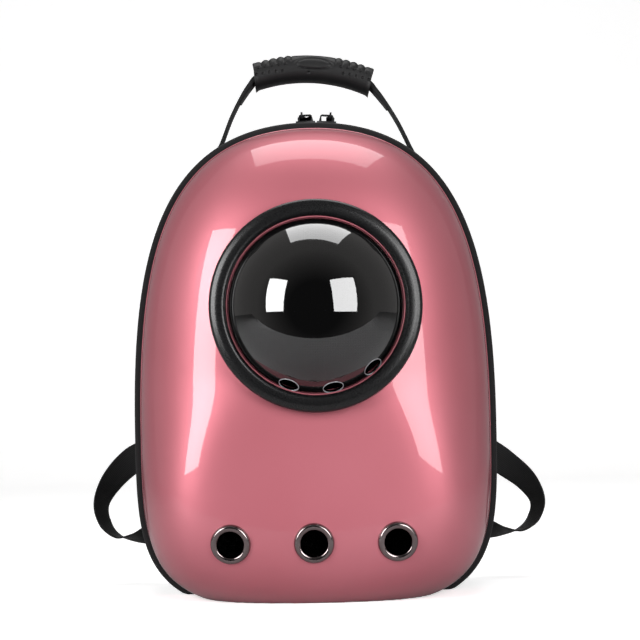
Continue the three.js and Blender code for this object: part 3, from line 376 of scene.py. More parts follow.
class Outline:
    """The bag's outline seen from the front: evenly spaced places and the outward direction at each."""

    def __init__(self, count=OUTLINE_STEPS):
        body = settings().body
        sink = -body.foot_sink
        wide = body.half_width
        low = body.widest_height - body.side_drop
        high = body.widest_height + body.side_rise
        right = [
            [(0, sink), (body.foot_reach, sink), (wide, low), (wide, body.widest_height)],
            [(wide, body.widest_height), (wide, high), (body.crown_reach, body.height), (0, body.height)],
        ]
        left = [[(-x, z) for x, z in reversed(curve)] for curve in reversed(right)]
        dense = np.concatenate([bezier(curve, CURVE_STEPS) for curve in right + left])
        dense = np.vstack([dense, dense[:1]])
        run = np.concatenate([[0], np.cumsum(np.linalg.norm(np.diff(dense, axis=0), axis=1))])
        at = np.linspace(0, run[-1], count, endpoint=False)
        self.length = run[-1]
        self.place = np.column_stack([np.interp(at, run, dense[:, k]) for k in (0, 1)])
        along = np.roll(self.place, -1, axis=0) - np.roll(self.place, 1, axis=0)
        along /= np.linalg.norm(along, axis=1)[:, None]
        self.out = np.column_stack([along[:, 1], -along[:, 0]])
        self.middle = depths().middle

    def ring(self, depth, out, floor=0.0):
        """A ring round the bag at one depth, moved out of the outline and cut off flat at the floor."""
        moved = self.place + self.out * np.reshape(out, (-1, 1))
        return np.column_stack([
            moved[:, 0],
            np.full(len(moved), depth - self.middle),
            np.maximum(moved[:, 1], floor),
        ])


def bezier(corners, count):
    p = np.array(corners, float)
    t = np.linspace(0, 1, count, endpoint=False)[:, None]
    s = 1 - t
    return s**3 * p[0] + 3 * s**2 * t * p[1] + 3 * s * t**2 * p[2] + t**3 * p[3]


@cache
def fine_outline():
    return Outline(FINE_OUTLINE_STEPS)


def crown_at(x, out):
    """The height of the outline's top, grown outwards, above a place across the bag."""
    ring = fine_outline().ring(0, out)
    top = ring[ring[:, 2] > settings().body.widest_height]
    order = np.argsort(top[:, 0])
    return float(np.interp(x, top[order, 0], top[order, 2]))


def side_at(height):
    """Half the width of the padded back at a height."""
    ring = fine_outline().ring(0, -settings().rear.rear_in)
    right = ring[(ring[:, 0] > 0) & (ring[:, 2] > 0)]
    order = np.argsort(right[:, 2])
    return float(np.interp(height, right[order, 2], right[order, 0]))


def spline_point(points, share):
    """A place on the centripetal curve through points, the share counting every stretch alike."""
    last = len(points) - 1
    k = min(int(share * last), last - 1)
    t = share * last - k
    b, c = points[k], points[k + 1]
    a = points[k - 1] if k > 0 else 2 * b - c
    d = points[k + 2] if k + 2 <= last else 2 * c - b
    gap_ab, gap_bc, gap_cd = [
        math.sqrt(np.linalg.norm(q - p)) for p, q in ((a, b), (b, c), (c, d))
    ]
    leave = (b - a) / gap_ab - (c - a) / (gap_ab + gap_bc) + (c - b) / gap_bc
    enter = (c - b) / gap_bc - (d - b) / (gap_bc + gap_cd) + (d - c) / gap_cd
    leave, enter = leave * gap_bc, enter * gap_bc
    return (
        b + leave * t
        + (3 * (c - b) - 2 * leave - enter) * t**2
        + (2 * (b - c) + leave + enter) * t**3
    )


class Route:
    """Stations along a smooth curve through rows of place, width's direction, width and thickness."""

    def __init__(self, rows, count):
        points = [np.array(row["at"], float) for row in rows]
        shares = np.linspace(0, 1, count + 1)
        place = shares * (len(rows) - 1)
        self.at = np.array([spline_point(points, share) for share in shares])
        knots = np.arange(len(rows))
        across = np.array([row["across"] for row in rows], float)
        self.across = np.column_stack([np.interp(place, knots, across[:, k]) for k in range(3)])
        self.width = np.interp(place, knots, [row["width"] for row in rows])
        self.thickness = np.interp(place, knots, [row["thickness"] for row in rows])
        self.square()

    def square(self):
        """Makes the width's direction stand square to the route, and finds the face's direction."""
        along = np.gradient(self.at, axis=0)
        self.along = along / np.linalg.norm(along, axis=1)[:, None]
        across = self.across - self.along * np.sum(self.across * self.along, axis=1)[:, None]
        self.across = across / np.linalg.norm(across, axis=1)[:, None]
        self.face = np.cross(self.along, self.across)

    def rings(self, section):
        """Cross-sections: each section point is a share of half the width and half the thickness."""
        return np.array([
            self.at[k]
            + np.outer(section[:, 0] * self.width[k] / 2, self.across[k])
            + np.outer(section[:, 1] * self.thickness[k] / 2, self.face[k])
            for k in range(len(self.at))
        ])

    def line(self, aside, lift):
        """A line along the ribbon, aside from its middle and lifted off it."""
        return self.at + self.across * np.reshape(aside, (-1, 1)) + self.face * np.reshape(lift, (-1, 1))


# Meshes

def piece_from(name, data):
    piece = bpy.data.objects.new(name, data)
    bpy.context.scene.collection.objects.link(piece)
    return piece


def mesh_of(name, points, faces, face_uvs=None):
    """A mesh whose faces turn outwards. Its UV map, if any, is in metres."""
    mesh = bpy.data.meshes.new(name)
    mesh.from_pydata([tuple(p) for p in points], [], faces)
    if face_uvs is not None:
        layer = mesh.uv_layers.new(name="cloth")
        layer.data.foreach_set("uv", np.array([uv for face in face_uvs for uv in face], float).ravel())
    mesh.validate()
    if enclosed_volume(mesh) < 0:
        mesh.flip_normals()
    return mesh


def enclosed_volume(mesh):
    mesh.calc_loop_triangles()
    at = np.zeros(len(mesh.vertices) * 3)
    mesh.vertices.foreach_get("co", at)
    corner = np.zeros(len(mesh.loop_triangles) * 3, int)
    mesh.loop_triangles.foreach_get("vertices", corner)
    a, b, c = at.reshape(-1, 3)[corner.reshape(-1, 3)].transpose(1, 0, 2)
    return float(np.sum(a * np.cross(b, c)))


def lofted(name, rings, loop=False, poles=None):
    """Skins rings of as many points each. A loop joins the last ring to the first, and any other stack
    is closed by fans about its poles."""
    rings = np.asarray(rings)
    count, size = rings.shape[:2]
    bands = count if loop else count - 1
    around = run_length(np.vstack([rings[count // 2], rings[count // 2][:1]]))
    middles = rings[:, size // 4]
    onwards = run_length(np.vstack([middles, middles[:1]]))
    faces, uvs = [], []
    for r in range(bands):
        s = (r + 1) % count
        for i in range(size):
            j = (i + 1) % size
            faces.append((r * size + i, r * size + j, s * size + j, s * size + i))
            u, v, w, x = around[i], around[i + 1], onwards[r], onwards[r + 1]
            uvs.append(((u, w), (v, w), (v, x), (u, x)))
    points = rings.reshape(-1, 3)
    if not loop:
        ends = poles if poles is not None else (rings[0].mean(0), rings[-1].mean(0))
        points = np.vstack([points, ends])
        for end, first in enumerate((0, (count - 1) * size)):
            for i in range(size):
                a, b = first + i, first + (i + 1) % size
                faces.append((a, b, len(points) - 2 + end) if end else (b, a, len(points) - 2))
                reach = onwards[count - 1] if end else 0.0
                uvs.append(((around[i], reach),) * 3)
    return mesh_of(name, points, faces, uvs)


def run_length(points):
    steps = np.linalg.norm(np.diff(points, axis=0), axis=1)
    return np.concatenate([[0.0], np.cumsum(steps)])


def lathed(name, profile, steps=LATHE_STEPS):
    """Turns a closed profile of radius and height about the local Y axis."""
    turn = np.linspace(0, 2 * math.pi, steps, endpoint=False)
    profile = np.asarray(profile, float)
    rings = np.array([
        np.column_stack([
            profile[:, 0] * math.sin(t),
            profile[:, 1],
            profile[:, 0] * math.cos(t),
        ]) for t in turn
    ])
    return lofted(name, rings, loop=True)


def turned_frame(at, direction):
    """The frame of a piece that is turned about its own Y axis, which points along direction."""
    turn = Vector((0, 1, 0)).rotation_difference(Vector(direction))
    return Matrix.Translation(Vector(at)) @ turn.to_matrix().to_4x4()


def flatten(piece):
    """Turns a piece's modifiers into a plain mesh."""
    bpy.context.view_layer.update()
    graph = bpy.context.evaluated_depsgraph_get()
    mesh = bpy.data.meshes.new_from_object(
        piece.evaluated_get(graph), preserve_all_data_layers=True, depsgraph=graph,
    )
    piece.modifiers.clear()
    piece.data = mesh
    return piece


def cut_away(piece, cutters):
    """Cuts the cutters' meshes out of a piece."""
    for mesh in cutters:
        cutter = piece_from("cutter", mesh)
        cut = piece.modifiers.new("cut", "BOOLEAN")
        cut.operation = "DIFFERENCE"
        cut.solver = "EXACT"
        cut.object = cutter
        flatten(piece)
        bpy.data.objects.remove(cutter)


def shade(piece, sharp_degrees=38):
    """Shades a piece smooth, but for its sharp edges."""
    form = bmesh.new()
    form.from_mesh(piece.data)
    for face in form.faces:
        face.smooth = True
    for edge in form.edges:
        edge.smooth = len(edge.link_faces) == 2 and edge.calc_face_angle(0.0) < math.radians(sharp_degrees)
    form.to_mesh(piece.data)
    form.free()


def dress(piece, material, body="bag", replaces=(), sharp_degrees=38):
    """Gives a finished piece its shading, material and body, and hides the CAD nodes it stands for."""
    shade(piece, sharp_degrees)
    piece.data.materials.clear()
    piece.data.materials.append(material)
    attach(piece, body)
    if replaces:
        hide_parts(*replaces)


# Shader helpers and the node groups that several finishes share

class Nodes:
    """Adds nodes to a tree and links them in short lines."""

    def __init__(self, tree):
        self.tree = tree

    def add(self, kind, *links, **values):
        """Adds a node. Links and values go to its inputs by position or name, and settings to itself."""
        node = self.tree.nodes.new(kind)
        for key, value in values.items():
            setattr(node, key, value)
        for socket, source in links:
            if isinstance(source, bpy.types.NodeSocket):
                self.tree.links.new(source, node.inputs[socket])
            else:
                node.inputs[socket].default_value = source
        return node

    def math(self, operation, first, second=0.0, third=None):
        links = [(0, first), (1, second)]
        if third is not None:
            links.append((2, third))
        return self.add("ShaderNodeMath", *links, operation=operation).outputs[0]

    def mix(self, share, first, second):
        node = self.add("ShaderNodeMix", ("Factor", share), (6, first), (7, second), data_type="RGBA")
        return node.outputs[2]


def new_group(name, inputs, outputs):
    """A shader node group with float, colour and vector sockets, and its inside ready to fill."""
    kinds = {"float": "NodeSocketFloat", "vector": "NodeSocketVector", "colour": "NodeSocketColor"}
    tree = bpy.data.node_groups.new(name, "ShaderNodeTree")
    for socket, (kind, value) in inputs.items():
        made = tree.interface.new_socket(socket, in_out="INPUT", socket_type=kinds[kind])
        if value is not None:
            made.default_value = value
    for socket, kind in outputs.items():
        tree.interface.new_socket(socket, in_out="OUTPUT", socket_type=kinds[kind])
    nodes = Nodes(tree)
    inside = nodes.add("NodeGroupInput").outputs
    outside = nodes.add("NodeGroupOutput")
    return tree, nodes, inside, outside


def group_named(name, build):
    return bpy.data.node_groups.get(name) or build(name)


def build_grain(name):
    """Fine uneven grain: a height that wanders round a half."""
    tree, nodes, inside, outside = new_group(
        name,
        {"Place": ("vector", None), "Grains a metre": ("float", 900.0), "Depth": ("float", 0.5)},
        {"Height": "float", "Mask": "float"},
    )
    fine = nodes.add(
        "ShaderNodeTexNoise", ("Vector", inside["Place"]), ("Scale", inside["Grains a metre"]),
        ("Detail", 3.0), ("Roughness", 0.6),
    ).outputs["Fac"]
    centred = nodes.math("SUBTRACT", fine, 0.5)
    height = nodes.math("MULTIPLY_ADD", centred, inside["Depth"], 0.5)
    mask = nodes.add("ShaderNodeMapRange", ("Value", fine), (1, 0.35), (2, 0.65)).outputs[0]
    tree.links.new(height, outside.inputs["Height"])
    tree.links.new(mask, outside.inputs["Mask"])
    return tree


def build_mottle(name):
    """Slow cloudy variation between 0 and 1."""
    tree, nodes, inside, outside = new_group(
        name, {"Place": ("vector", None), "Clouds a metre": ("float", 12.0)}, {"Mask": "float"},
    )
    slow = nodes.add(
        "ShaderNodeTexNoise", ("Vector", inside["Place"]), ("Scale", inside["Clouds a metre"]),
        ("Detail", 2.0),
    ).outputs["Fac"]
    mask = nodes.add("ShaderNodeMapRange", ("Value", slow), (1, 0.3), (2, 0.7)).outputs[0]
    tree.links.new(mask, outside.inputs["Mask"])
    return tree


def build_weave(name):
    """A plain weave on two directions of a place: threads over and under each other."""
    tree, nodes, inside, outside = new_group(
        name,
        {"Place": ("vector", None), "Threads a metre": ("float", 900.0), "Unevenness": ("float", 0.25)},
        {"Height": "float", "Mask": "float"},
    )
    split = nodes.add("ShaderNodeSeparateXYZ", (0, inside["Place"])).outputs
    waves = []
    for axis in (0, 1):
        turns = nodes.math("MULTIPLY", split[axis], inside["Threads a metre"])
        waves.append(nodes.math("SINE", nodes.math("MULTIPLY", turns, math.pi)))
    over = nodes.math("MULTIPLY", waves[0], waves[1])
    wander = nodes.add(
        "ShaderNodeTexNoise", ("Vector", inside["Place"]), ("Scale", 420.0), ("Detail", 2.0),
    ).outputs["Fac"]
    uneven = nodes.math("MULTIPLY", nodes.math("SUBTRACT", wander, 0.5), inside["Unevenness"])
    height = nodes.math("ADD", nodes.math("MULTIPLY_ADD", over, 0.5, 0.5), uneven)
    mask = nodes.math("ABSOLUTE", over)
    tree.links.new(height, outside.inputs["Height"])
    tree.links.new(mask, outside.inputs["Mask"])
    return tree


def build_ribs(name):
    """Webbing: ribs that run lengthwise, crossed by slanting picks."""
    tree, nodes, inside, outside = new_group(
        name,
        {"Place": ("vector", None), "Ribs a metre": ("float", 800.0), "Picks a metre": ("float", 1100.0)},
        {"Height": "float", "Mask": "float"},
    )
    split = nodes.add("ShaderNodeSeparateXYZ", (0, inside["Place"])).outputs
    rib_turns = nodes.math("MULTIPLY", split[0], inside["Ribs a metre"])
    rib = nodes.math("ABSOLUTE", nodes.math("SINE", nodes.math("MULTIPLY", rib_turns, math.pi)))
    lane = nodes.math("MULTIPLY", nodes.math("FLOOR", rib_turns), 0.5)
    pick_turns = nodes.math("MULTIPLY", split[1], inside["Picks a metre"])
    phase = nodes.math("ADD", nodes.math("ADD", pick_turns, lane), nodes.math("FRACT", rib_turns))
    pick = nodes.math("SINE", nodes.math("MULTIPLY", phase, 2 * math.pi))
    height = nodes.math("MULTIPLY_ADD", pick, 0.2, nodes.math("MULTIPLY", rib, 0.8))
    tree.links.new(height, outside.inputs["Height"])
    tree.links.new(rib, outside.inputs["Mask"])
    return tree


SHARED = {
    "grain": ("carrier grain", build_grain),
    "mottle": ("carrier mottle", build_mottle),
    "weave": ("carrier weave", build_weave),
    "ribs": ("carrier ribs", build_ribs),
}


class Finish:
    """One material being built: its Principled shader, its tree and the shared groups."""

    def __init__(self, name):
        self.material = bpy.data.materials.new(name)
        self.material.use_nodes = True
        self.nodes = Nodes(self.material.node_tree)
        self.shader = self.material.node_tree.nodes["Principled BSDF"]
        spots = self.nodes.add("ShaderNodeTexCoord")
        self.place = spots.outputs["Object"]
        self.cloth = spots.outputs["UV"]

    def group(self, key, place, **values):
        node = self.nodes.add("ShaderNodeGroup", node_tree=group_named(*SHARED[key]))
        self.nodes.tree.links.new(place, node.inputs["Place"])
        for socket, value in values.items():
            node.inputs[socket.replace("_", " ")].default_value = value
        return node.outputs

    def set(self, **values):
        for socket, value in values.items():
            self.shader.inputs[socket.replace("_", " ")].default_value = value

    def feed(self, socket, source):
        self.nodes.tree.links.new(source, self.shader.inputs[socket])

    def between(self, mask, first, second):
        """A colour that the mask mixes from the first to the second."""
        return self.nodes.mix(mask, (*first, 1.0), (*second, 1.0))

    def clouded(self, shade, low, high, clouds):
        """A shade that drifts in slow clouds between two strengths of itself."""
        cloudy = self.group("mottle", self.place, Clouds_a_metre=clouds)
        return self.between(cloudy["Mask"], darker(shade, low), darker(shade, high))

    def grained(self, grains, rough, depth, strength):
        """Gives the surface a fine grain, its roughness between two values, and returns the grain's mask."""
        grain = self.group("grain", self.place, Grains_a_metre=grains, Depth=1.0)
        self.feed("Roughness", self.range(grain["Mask"], *rough))
        self.feed("Normal", self.bump(grain["Height"], depth, strength))
        return grain["Mask"]

    def range(self, mask, low, high):
        return self.nodes.add("ShaderNodeMapRange", ("Value", mask), (3, low), (4, high)).outputs[0]

    def bump(self, height, metres, strength=1.0, under=None):
        links = [("Height", height), ("Distance", metres), ("Strength", strength)]
        if under is not None:
            links.append(("Normal", under))
        return self.nodes.add("ShaderNodeBump", *links).outputs["Normal"]


def darker(shade, share):
    return tuple(channel * share for channel in shade)


def made_once(build):
    """Keeps one material for each finish."""
    def finish():
        return bpy.data.materials.get(build.__name__) or build(Finish(build.__name__))
    return finish


@made_once
def rose_lacquer(finish):
    """Metallic rose lacquer under a clear coat, with fine flake and slow waves of the moulded wall."""
    colours = settings().colours
    cloudy = finish.group("mottle", finish.place, Clouds_a_metre=7.0)
    flake = finish.group("grain", finish.place, Grains_a_metre=2600.0, Depth=1.0)
    waves = finish.group("mottle", finish.place, Clouds_a_metre=22.0)
    finish.feed("Base Color", finish.between(cloudy["Mask"], colours.lacquer_shade, colours.lacquer))
    finish.feed("Roughness", finish.range(flake["Mask"], 0.48, 0.56))
    wavy = finish.bump(waves["Mask"], 0.00012)
    finish.feed("Normal", finish.bump(flake["Height"], 0.00002, 0.6, wavy))
    finish.set(Metallic=0.6, Coat_Weight=0.85, Coat_Roughness=0.035, Coat_IOR=1.45)
    return finish.material


@made_once
def smoked_dome(finish):
    """Clear polycarbonate with a smoke tint and the faintest handling haze."""
    haze = finish.group("mottle", finish.place, Clouds_a_metre=30.0)
    finish.feed("Roughness", finish.range(haze["Mask"], 0.0, 0.012))
    finish.set(Base_Color=(*settings().colours.tint, 1.0), Transmission_Weight=1.0, IOR=1.49, Metallic=0.0)
    finish.set(Coat_Weight=1.0, Coat_IOR=1.6, Coat_Roughness=0.0)
    return finish.material


@made_once
def vent_highlight_finish(finish):
    """A painted highlight: the pale grey stands in for the light that the cut and polished edges of the
    dome's air holes scatter.
    """
    scuffs = finish.group("grain", finish.place, Grains_a_metre=900.0, Depth=1.0)
    finish.feed("Roughness", finish.range(scuffs["Mask"], 0.12, 0.22))
    finish.set(Base_Color=(*settings().colours.cut_edge, 1.0), Specular_IOR_Level=0.8)
    return finish.material


@made_once
def satin_ring(finish):
    """Moulded satin black with a fine leathery grain."""
    finish.grained(1500.0, (0.24, 0.32), 0.00008, 0.7)
    finish.feed("Base Color", finish.clouded(settings().colours.ring, 0.8, 1.0, 25.0))
    finish.set(Specular_IOR_Level=0.45)
    return finish.material


@made_once
def plated_gunmetal(finish):
    """Polished gunmetal plating with hairline scuffs."""
    finish.grained(700.0, (0.10, 0.20), 0.00001, 0.5)
    finish.feed("Base Color", finish.clouded(settings().colours.gunmetal, 0.85, 1.0, 60.0))
    finish.set(Metallic=1.0)
    return finish.material


def cloth_finish(finish, place, threads, shade, depth, rough=0.86):
    weave = finish.group("weave", place, Threads_a_metre=threads)
    worn = finish.clouded(shade, 0.75, 1.15, 18.0)
    # The hollows between the threads get the deeper tone: painted shade where the weave is shaded.
    finish.feed("Base Color", finish.nodes.mix(weave["Mask"], (*settings().colours.lining, 1.0), worn))
    finish.feed("Roughness", finish.range(weave["Mask"], rough, rough - 0.16))
    finish.feed("Normal", finish.bump(weave["Height"], depth, 0.8))
    finish.set(Sheen_Weight=0.08, Sheen_Roughness=0.5, Specular_IOR_Level=0.3)
    return finish.material


@made_once
def packcloth(finish):
    """Black plain-woven packcloth, its weave running with the piece."""
    return cloth_finish(finish, finish.cloth, 1250.0, settings().colours.cloth, 0.00022)


@made_once
def padding_cover(finish):
    """Black spacer mesh over the padded pieces: open cells, darkened with painted shade, between lighter
    walls.
    """
    colours = settings().colours
    cells = finish.nodes.add(
        "ShaderNodeTexVoronoi", ("Vector", finish.place), ("Scale", 420.0), ("Randomness", 0.15),
        feature="F1",
    ).outputs["Distance"]
    cell_walls = finish.nodes.add("ShaderNodeMapRange", ("Value", cells), (1, 0.18), (2, 0.5)).outputs[0]
    worn = finish.clouded(colours.cloth, 0.85, 1.25, 18.0)
    # The open cells get the deeper tone: painted shade in the mesh's hollows.
    finish.feed("Base Color", finish.nodes.mix(cell_walls, (*colours.lining, 1.0), worn))
    finish.feed("Roughness", finish.range(cell_walls, 0.92, 0.74))
    finish.feed("Normal", finish.bump(cell_walls, 0.0005, 0.9))
    finish.set(Sheen_Weight=0.10, Sheen_Roughness=0.5, Specular_IOR_Level=0.3)
    return finish.material


@made_once
def zip_tape(finish):
    """Finely woven zip tape."""
    return cloth_finish(finish, finish.cloth, 1700.0, settings().colours.webbing, 0.00016, 0.8)


@made_once
def ribbed_webbing(finish):
    """Black webbing with ribs along it."""
    colours = settings().colours
    ribs = finish.group("ribs", finish.cloth, Ribs_a_metre=620.0, Picks_a_metre=900.0)
    worn = finish.clouded(colours.webbing, 0.8, 1.25, 35.0)
    # The grooves between the ribs get the deeper tone: painted shade.
    finish.feed("Base Color", finish.nodes.mix(ribs["Mask"], (*colours.lining, 1.0), worn))
    finish.feed("Roughness", finish.range(ribs["Mask"], 0.82, 0.62))
    finish.feed("Normal", finish.bump(ribs["Height"], 0.00035, 0.8))
    finish.set(Sheen_Weight=0.06, Sheen_Roughness=0.4, Specular_IOR_Level=0.35)
    return finish.material


@made_once
def moulded_rubber(finish):
    """Matt moulded rubber with a stippled skin."""
    finish.grained(1300.0, (0.48, 0.62), 0.00009, 0.8)
    finish.feed("Base Color", finish.clouded(settings().colours.rubber, 0.8, 1.0, 30.0))
    finish.set(Specular_IOR_Level=0.35)
    return finish.material


@made_once
def hard_plastic(finish):
    """Hard black plastic with a faint grain."""
    plastic = settings().colours.plastic
    grain = finish.grained(2200.0, (0.28, 0.38), 0.00003, 0.6)
    finish.feed("Base Color", finish.between(grain, darker(plastic, 0.8), plastic))
    return finish.material


@made_once
def painted_zinc(finish):
    """Black enamel on cast zinc, worn a little brighter."""
    colours = settings().colours
    worn = finish.group("mottle", finish.place, Clouds_a_metre=260.0)
    finish.feed("Base Color", finish.between(worn["Mask"], colours.plastic, darker(colours.plastic, 1.8)))
    finish.feed("Roughness", finish.range(worn["Mask"], 0.34, 0.46))
    finish.set(Metallic=0.3, Specular_IOR_Level=0.3)
    return finish.material


@made_once
def twisted_thread(finish):
    """Black sewing thread, its twist running round it."""
    colours = settings().colours
    twist = finish.group("grain", finish.place, Grains_a_metre=2400.0, Depth=1.0)
    finish.feed("Base Color", finish.between(twist["Mask"], darker(colours.thread, 0.6), colours.thread))
    finish.feed("Roughness", finish.range(twist["Mask"], 0.5, 0.65))
    return finish.material


# The front shell

def shell_rows(outline, inset, floor, count):
    """Rings of the shell's face, evenly spaced along its curve, from the bead to just before the pole."""
    body = settings().body
    edge = outline.ring(0, -body.bead_out - inset, -1.0)
    rise = edge[:, 2] - body.swell_height
    radius = np.hypot(edge[:, 0], rise)
    end = np.where(rise > 0, body.crown_fullness, body.foot_fullness)
    fullness = body.side_fullness + (end - body.side_fullness) * (rise / radius) ** 2
    reach = body.depth - body.bead_depth - inset
    turn = np.linspace(0, math.pi / 2, SWELL_STEPS)
    share = np.cos(turn)[:, None].clip(0) ** (2 / fullness)[None, :]
    deep = np.repeat(np.sin(turn)[:, None], len(edge), axis=1)
    steps = np.hypot(np.diff(share, axis=0) * radius, np.diff(deep, axis=0) * reach)
    run = np.vstack([np.zeros(len(edge)), np.cumsum(steps, axis=0)])
    marks = np.linspace(0, 1, count, endpoint=False)
    rows = np.zeros((count, len(edge), 3))
    for i in range(len(edge)):
        at = marks * run[-1, i]
        across = np.interp(at, run[:, i], share[:, i])
        depth = np.interp(at, run[:, i], deep[:, i])
        rows[:, i, 0] = edge[i, 0] * across
        rows[:, i, 1] = -body.bead_depth - reach * depth - outline.middle
        rows[:, i, 2] = np.maximum(body.swell_height + rise[i] * across, floor)
    return rows


def shell_pole(inset):
    body = settings().body
    return (0, inset - body.depth - depths().middle, body.swell_height)


def shell_depth(x, z):
    """How deep the shell's outer face lies at a place seen from the front."""
    body = settings().body
    outline = fine_outline()
    edge = outline.ring(0, -body.bead_out, -1.0)
    spread = np.arctan2(edge[:, 2] - body.swell_height, edge[:, 0])
    reach = np.hypot(edge[:, 0], edge[:, 2] - body.swell_height)
    order = np.argsort(spread)
    rise = np.asarray(z) - body.swell_height
    turn = np.arctan2(rise, x)
    edge_reach = np.interp(turn, spread[order], reach[order], period=2 * math.pi)
    end = np.where(rise > 0, body.crown_fullness, body.foot_fullness)
    fullness = body.side_fullness + (end - body.side_fullness) * np.sin(turn) ** 2
    share = np.minimum(1.0, np.hypot(x, rise) / edge_reach)
    swell = np.sqrt(1 - share**fullness)
    return -body.bead_depth - (body.depth - body.bead_depth) * swell - outline.middle


def bead_rows(outline):
    """The rounded lip along the shell's rear edge, from its inside corner to the wall."""
    body = settings().body
    rows = [outline.ring(0, -body.bead_out - body.wall), outline.ring(0, -body.bead_out * 1.2)]
    for turn in np.linspace(0.15, math.pi * 0.92, BEAD_ROWS):
        depth = -body.bead_depth * (1 - math.cos(turn)) / 2
        rows.append(outline.ring(depth, -body.bead_out * (1 - math.sin(turn))))
    return rows


def window_frame():
    window = settings().window
    seat = window.recess - settings().body.depth - depths().middle
    direction = (0, -math.cos(window.tilt), math.sin(window.tilt))
    return turned_frame((window.aside, seat, window.height), direction)


def cylinder_mesh(radius, half_length, place):
    profile = [(0.0, -half_length), (radius, -half_length), (radius, half_length), (0.0, half_length)]
    return tidy_lathe("hole", profile, place)


def tidy_lathe(name, profile, place):
    """A lathe whose profile touches its axis, with the doubled points there merged."""
    mesh = lathed(name, profile)
    form = bmesh.new()
    form.from_mesh(mesh)
    bmesh.ops.remove_doubles(form, verts=form.verts, dist=1e-6)
    bmesh.ops.recalc_face_normals(form, faces=form.faces)
    form.to_mesh(mesh)
    form.free()
    mesh.transform(place)
    return mesh


def eyelet_frames():
    """Each eyelet's frame, its Y axis square to the shell's face."""
    trim = settings().trim
    probe = trim.eyelet_radius / 2
    frames = []
    for k in range(trim.eyelet_count):
        x = trim.eyelet_aside + trim.eyelet_spacing * (k - (trim.eyelet_count - 1) / 2)
        z = trim.eyelet_height
        slope_x = (shell_depth(x + probe, z) - shell_depth(x - probe, z)) / (2 * probe)
        slope_z = (shell_depth(x, z + probe) - shell_depth(x, z - probe)) / (2 * probe)
        out = Vector((slope_x, -1, slope_z)).normalized()
        frames.append(turned_frame((x, float(shell_depth(x, z)), z), out))
    return frames


def make_front_shell():
    body = settings().body
    window = settings().window
    trim = settings().trim
    outline = Outline()
    inner = shell_rows(outline, body.wall, body.wall, LINING_ROWS)[::-1]
    outer = shell_rows(outline, 0, 0, SHELL_ROWS)
    rings = np.concatenate([inner, bead_rows(outline), outer])
    mesh = lofted("front_shell_fine", rings, poles=(shell_pole(body.wall), shell_pole(0)))
    shell = piece_from("front_shell_fine", mesh)
    opening = window.radius - window.opening_lip
    holes = [cylinder_mesh(opening, body.depth / 2, window_frame())]
    for place in eyelet_frames():
        bore = trim.eyelet_bore + trim.eyelet_wall + CLEARANCE
        holes.append(cylinder_mesh(bore, trim.eyelet_reach * 2, place))
    cut_away(shell, holes)
    dress(shell, rose_lacquer(), replaces=["front_shell"], sharp_degrees=42)


# The window

def dome_arc(radius, centre, lowest, steps):
    """Points down one face of the dome, from just off its crown to the given height."""
    end = math.acos((lowest - centre) / radius)
    turn = np.linspace(0, end, steps)
    return np.column_stack([radius * np.sin(turn), centre + radius * np.cos(turn)])


def make_window_dome():
    window = settings().window
    base = window.flange_thickness + window.skirt
    radius = (window.radius**2 + window.rise**2) / (2 * window.rise)
    centre = base + window.rise - radius
    flange = window.radius + window.flange_width
    profile = np.concatenate([
        dome_arc(radius - window.wall, centre, 0.0, 56),
        [(flange, 0.0), (flange, window.flange_thickness), (window.radius, window.flange_thickness)],
        dome_arc(radius, centre, base, 72)[::-1],
    ])
    place = window_frame()
    dome = piece_from("window_dome_fine", tidy_lathe("window_dome_fine", profile, place))
    slant = window.vent_chamfer
    bore = window.vent_radius
    cutter = [
        (0.0, -4 * window.wall), (bore + slant, -4 * window.wall), (bore + slant, -window.wall - slant),
        (bore, -window.wall), (bore, -slant * 1.4), (bore + slant, -slant * 0.3),
        (bore + slant, 4 * window.wall), (0.0, 4 * window.wall),
    ]
    vents, rims = [], []
    for k in range(window.vent_count):
        turn = window.vent_turn + window.vent_step * (k - (window.vent_count - 1) / 2)
        down = window.vent_down
        direction = Vector((math.sin(down) * math.sin(turn), math.cos(down), math.sin(down) * math.cos(turn)))
        at = direction * radius + Vector((0, centre, 0))
        vents.append(tidy_lathe("vent", cutter, place @ turned_frame(at, direction)))
        section = arc((bore + slant * 0.5, -slant * 0.8), (slant * 0.5, slant * 0.8), 0, 330, 12)
        rim = lathed("vent_rim", section, VENT_RIM_STEPS)
        rim.transform(place @ turned_frame(at, direction))
        rims.append(rim)
    cut_away(dome, vents)
    dress(dome, smoked_dome(), replaces=["window_dome"], sharp_degrees=30)
    # The pale rims round the air holes carry a painted highlight.
    dress(joined("vent_rims", rims), vent_highlight_finish())


def joined(name, meshes):
    """One piece that holds several meshes."""
    form = bmesh.new()
    for mesh in meshes:
        form.from_mesh(mesh)
    together = bpy.data.meshes.new(name)
    form.to_mesh(together)
    form.free()
    return piece_from(name, together)


def make_window_collar():
    """The rose collar of the shell that shows in the crevice between the dome and the ring."""
    window = settings().window
    base = window.flange_thickness + window.skirt
    radius = (window.radius**2 + window.rise**2) / (2 * window.rise)
    height = base + window.collar_height
    dome_edge = math.sqrt(radius**2 - (height - base - window.rise + radius) ** 2)
    half = (window.radius + CLEARANCE - dome_edge) / 2
    mesh = lathed("window_collar", arc((dome_edge + half, height), (half, half), 0, 330, 12))
    mesh.transform(window_frame())
    dress(piece_from("window_collar", mesh), rose_lacquer())


def arc(middle, radii, first_degrees, last_degrees, steps=9):
    """Points round part of an ellipse, as radius and height."""
    turn = np.radians(np.linspace(first_degrees, last_degrees, steps))
    return np.column_stack([middle[0] + radii[0] * np.cos(turn), middle[1] + radii[1] * np.sin(turn)])


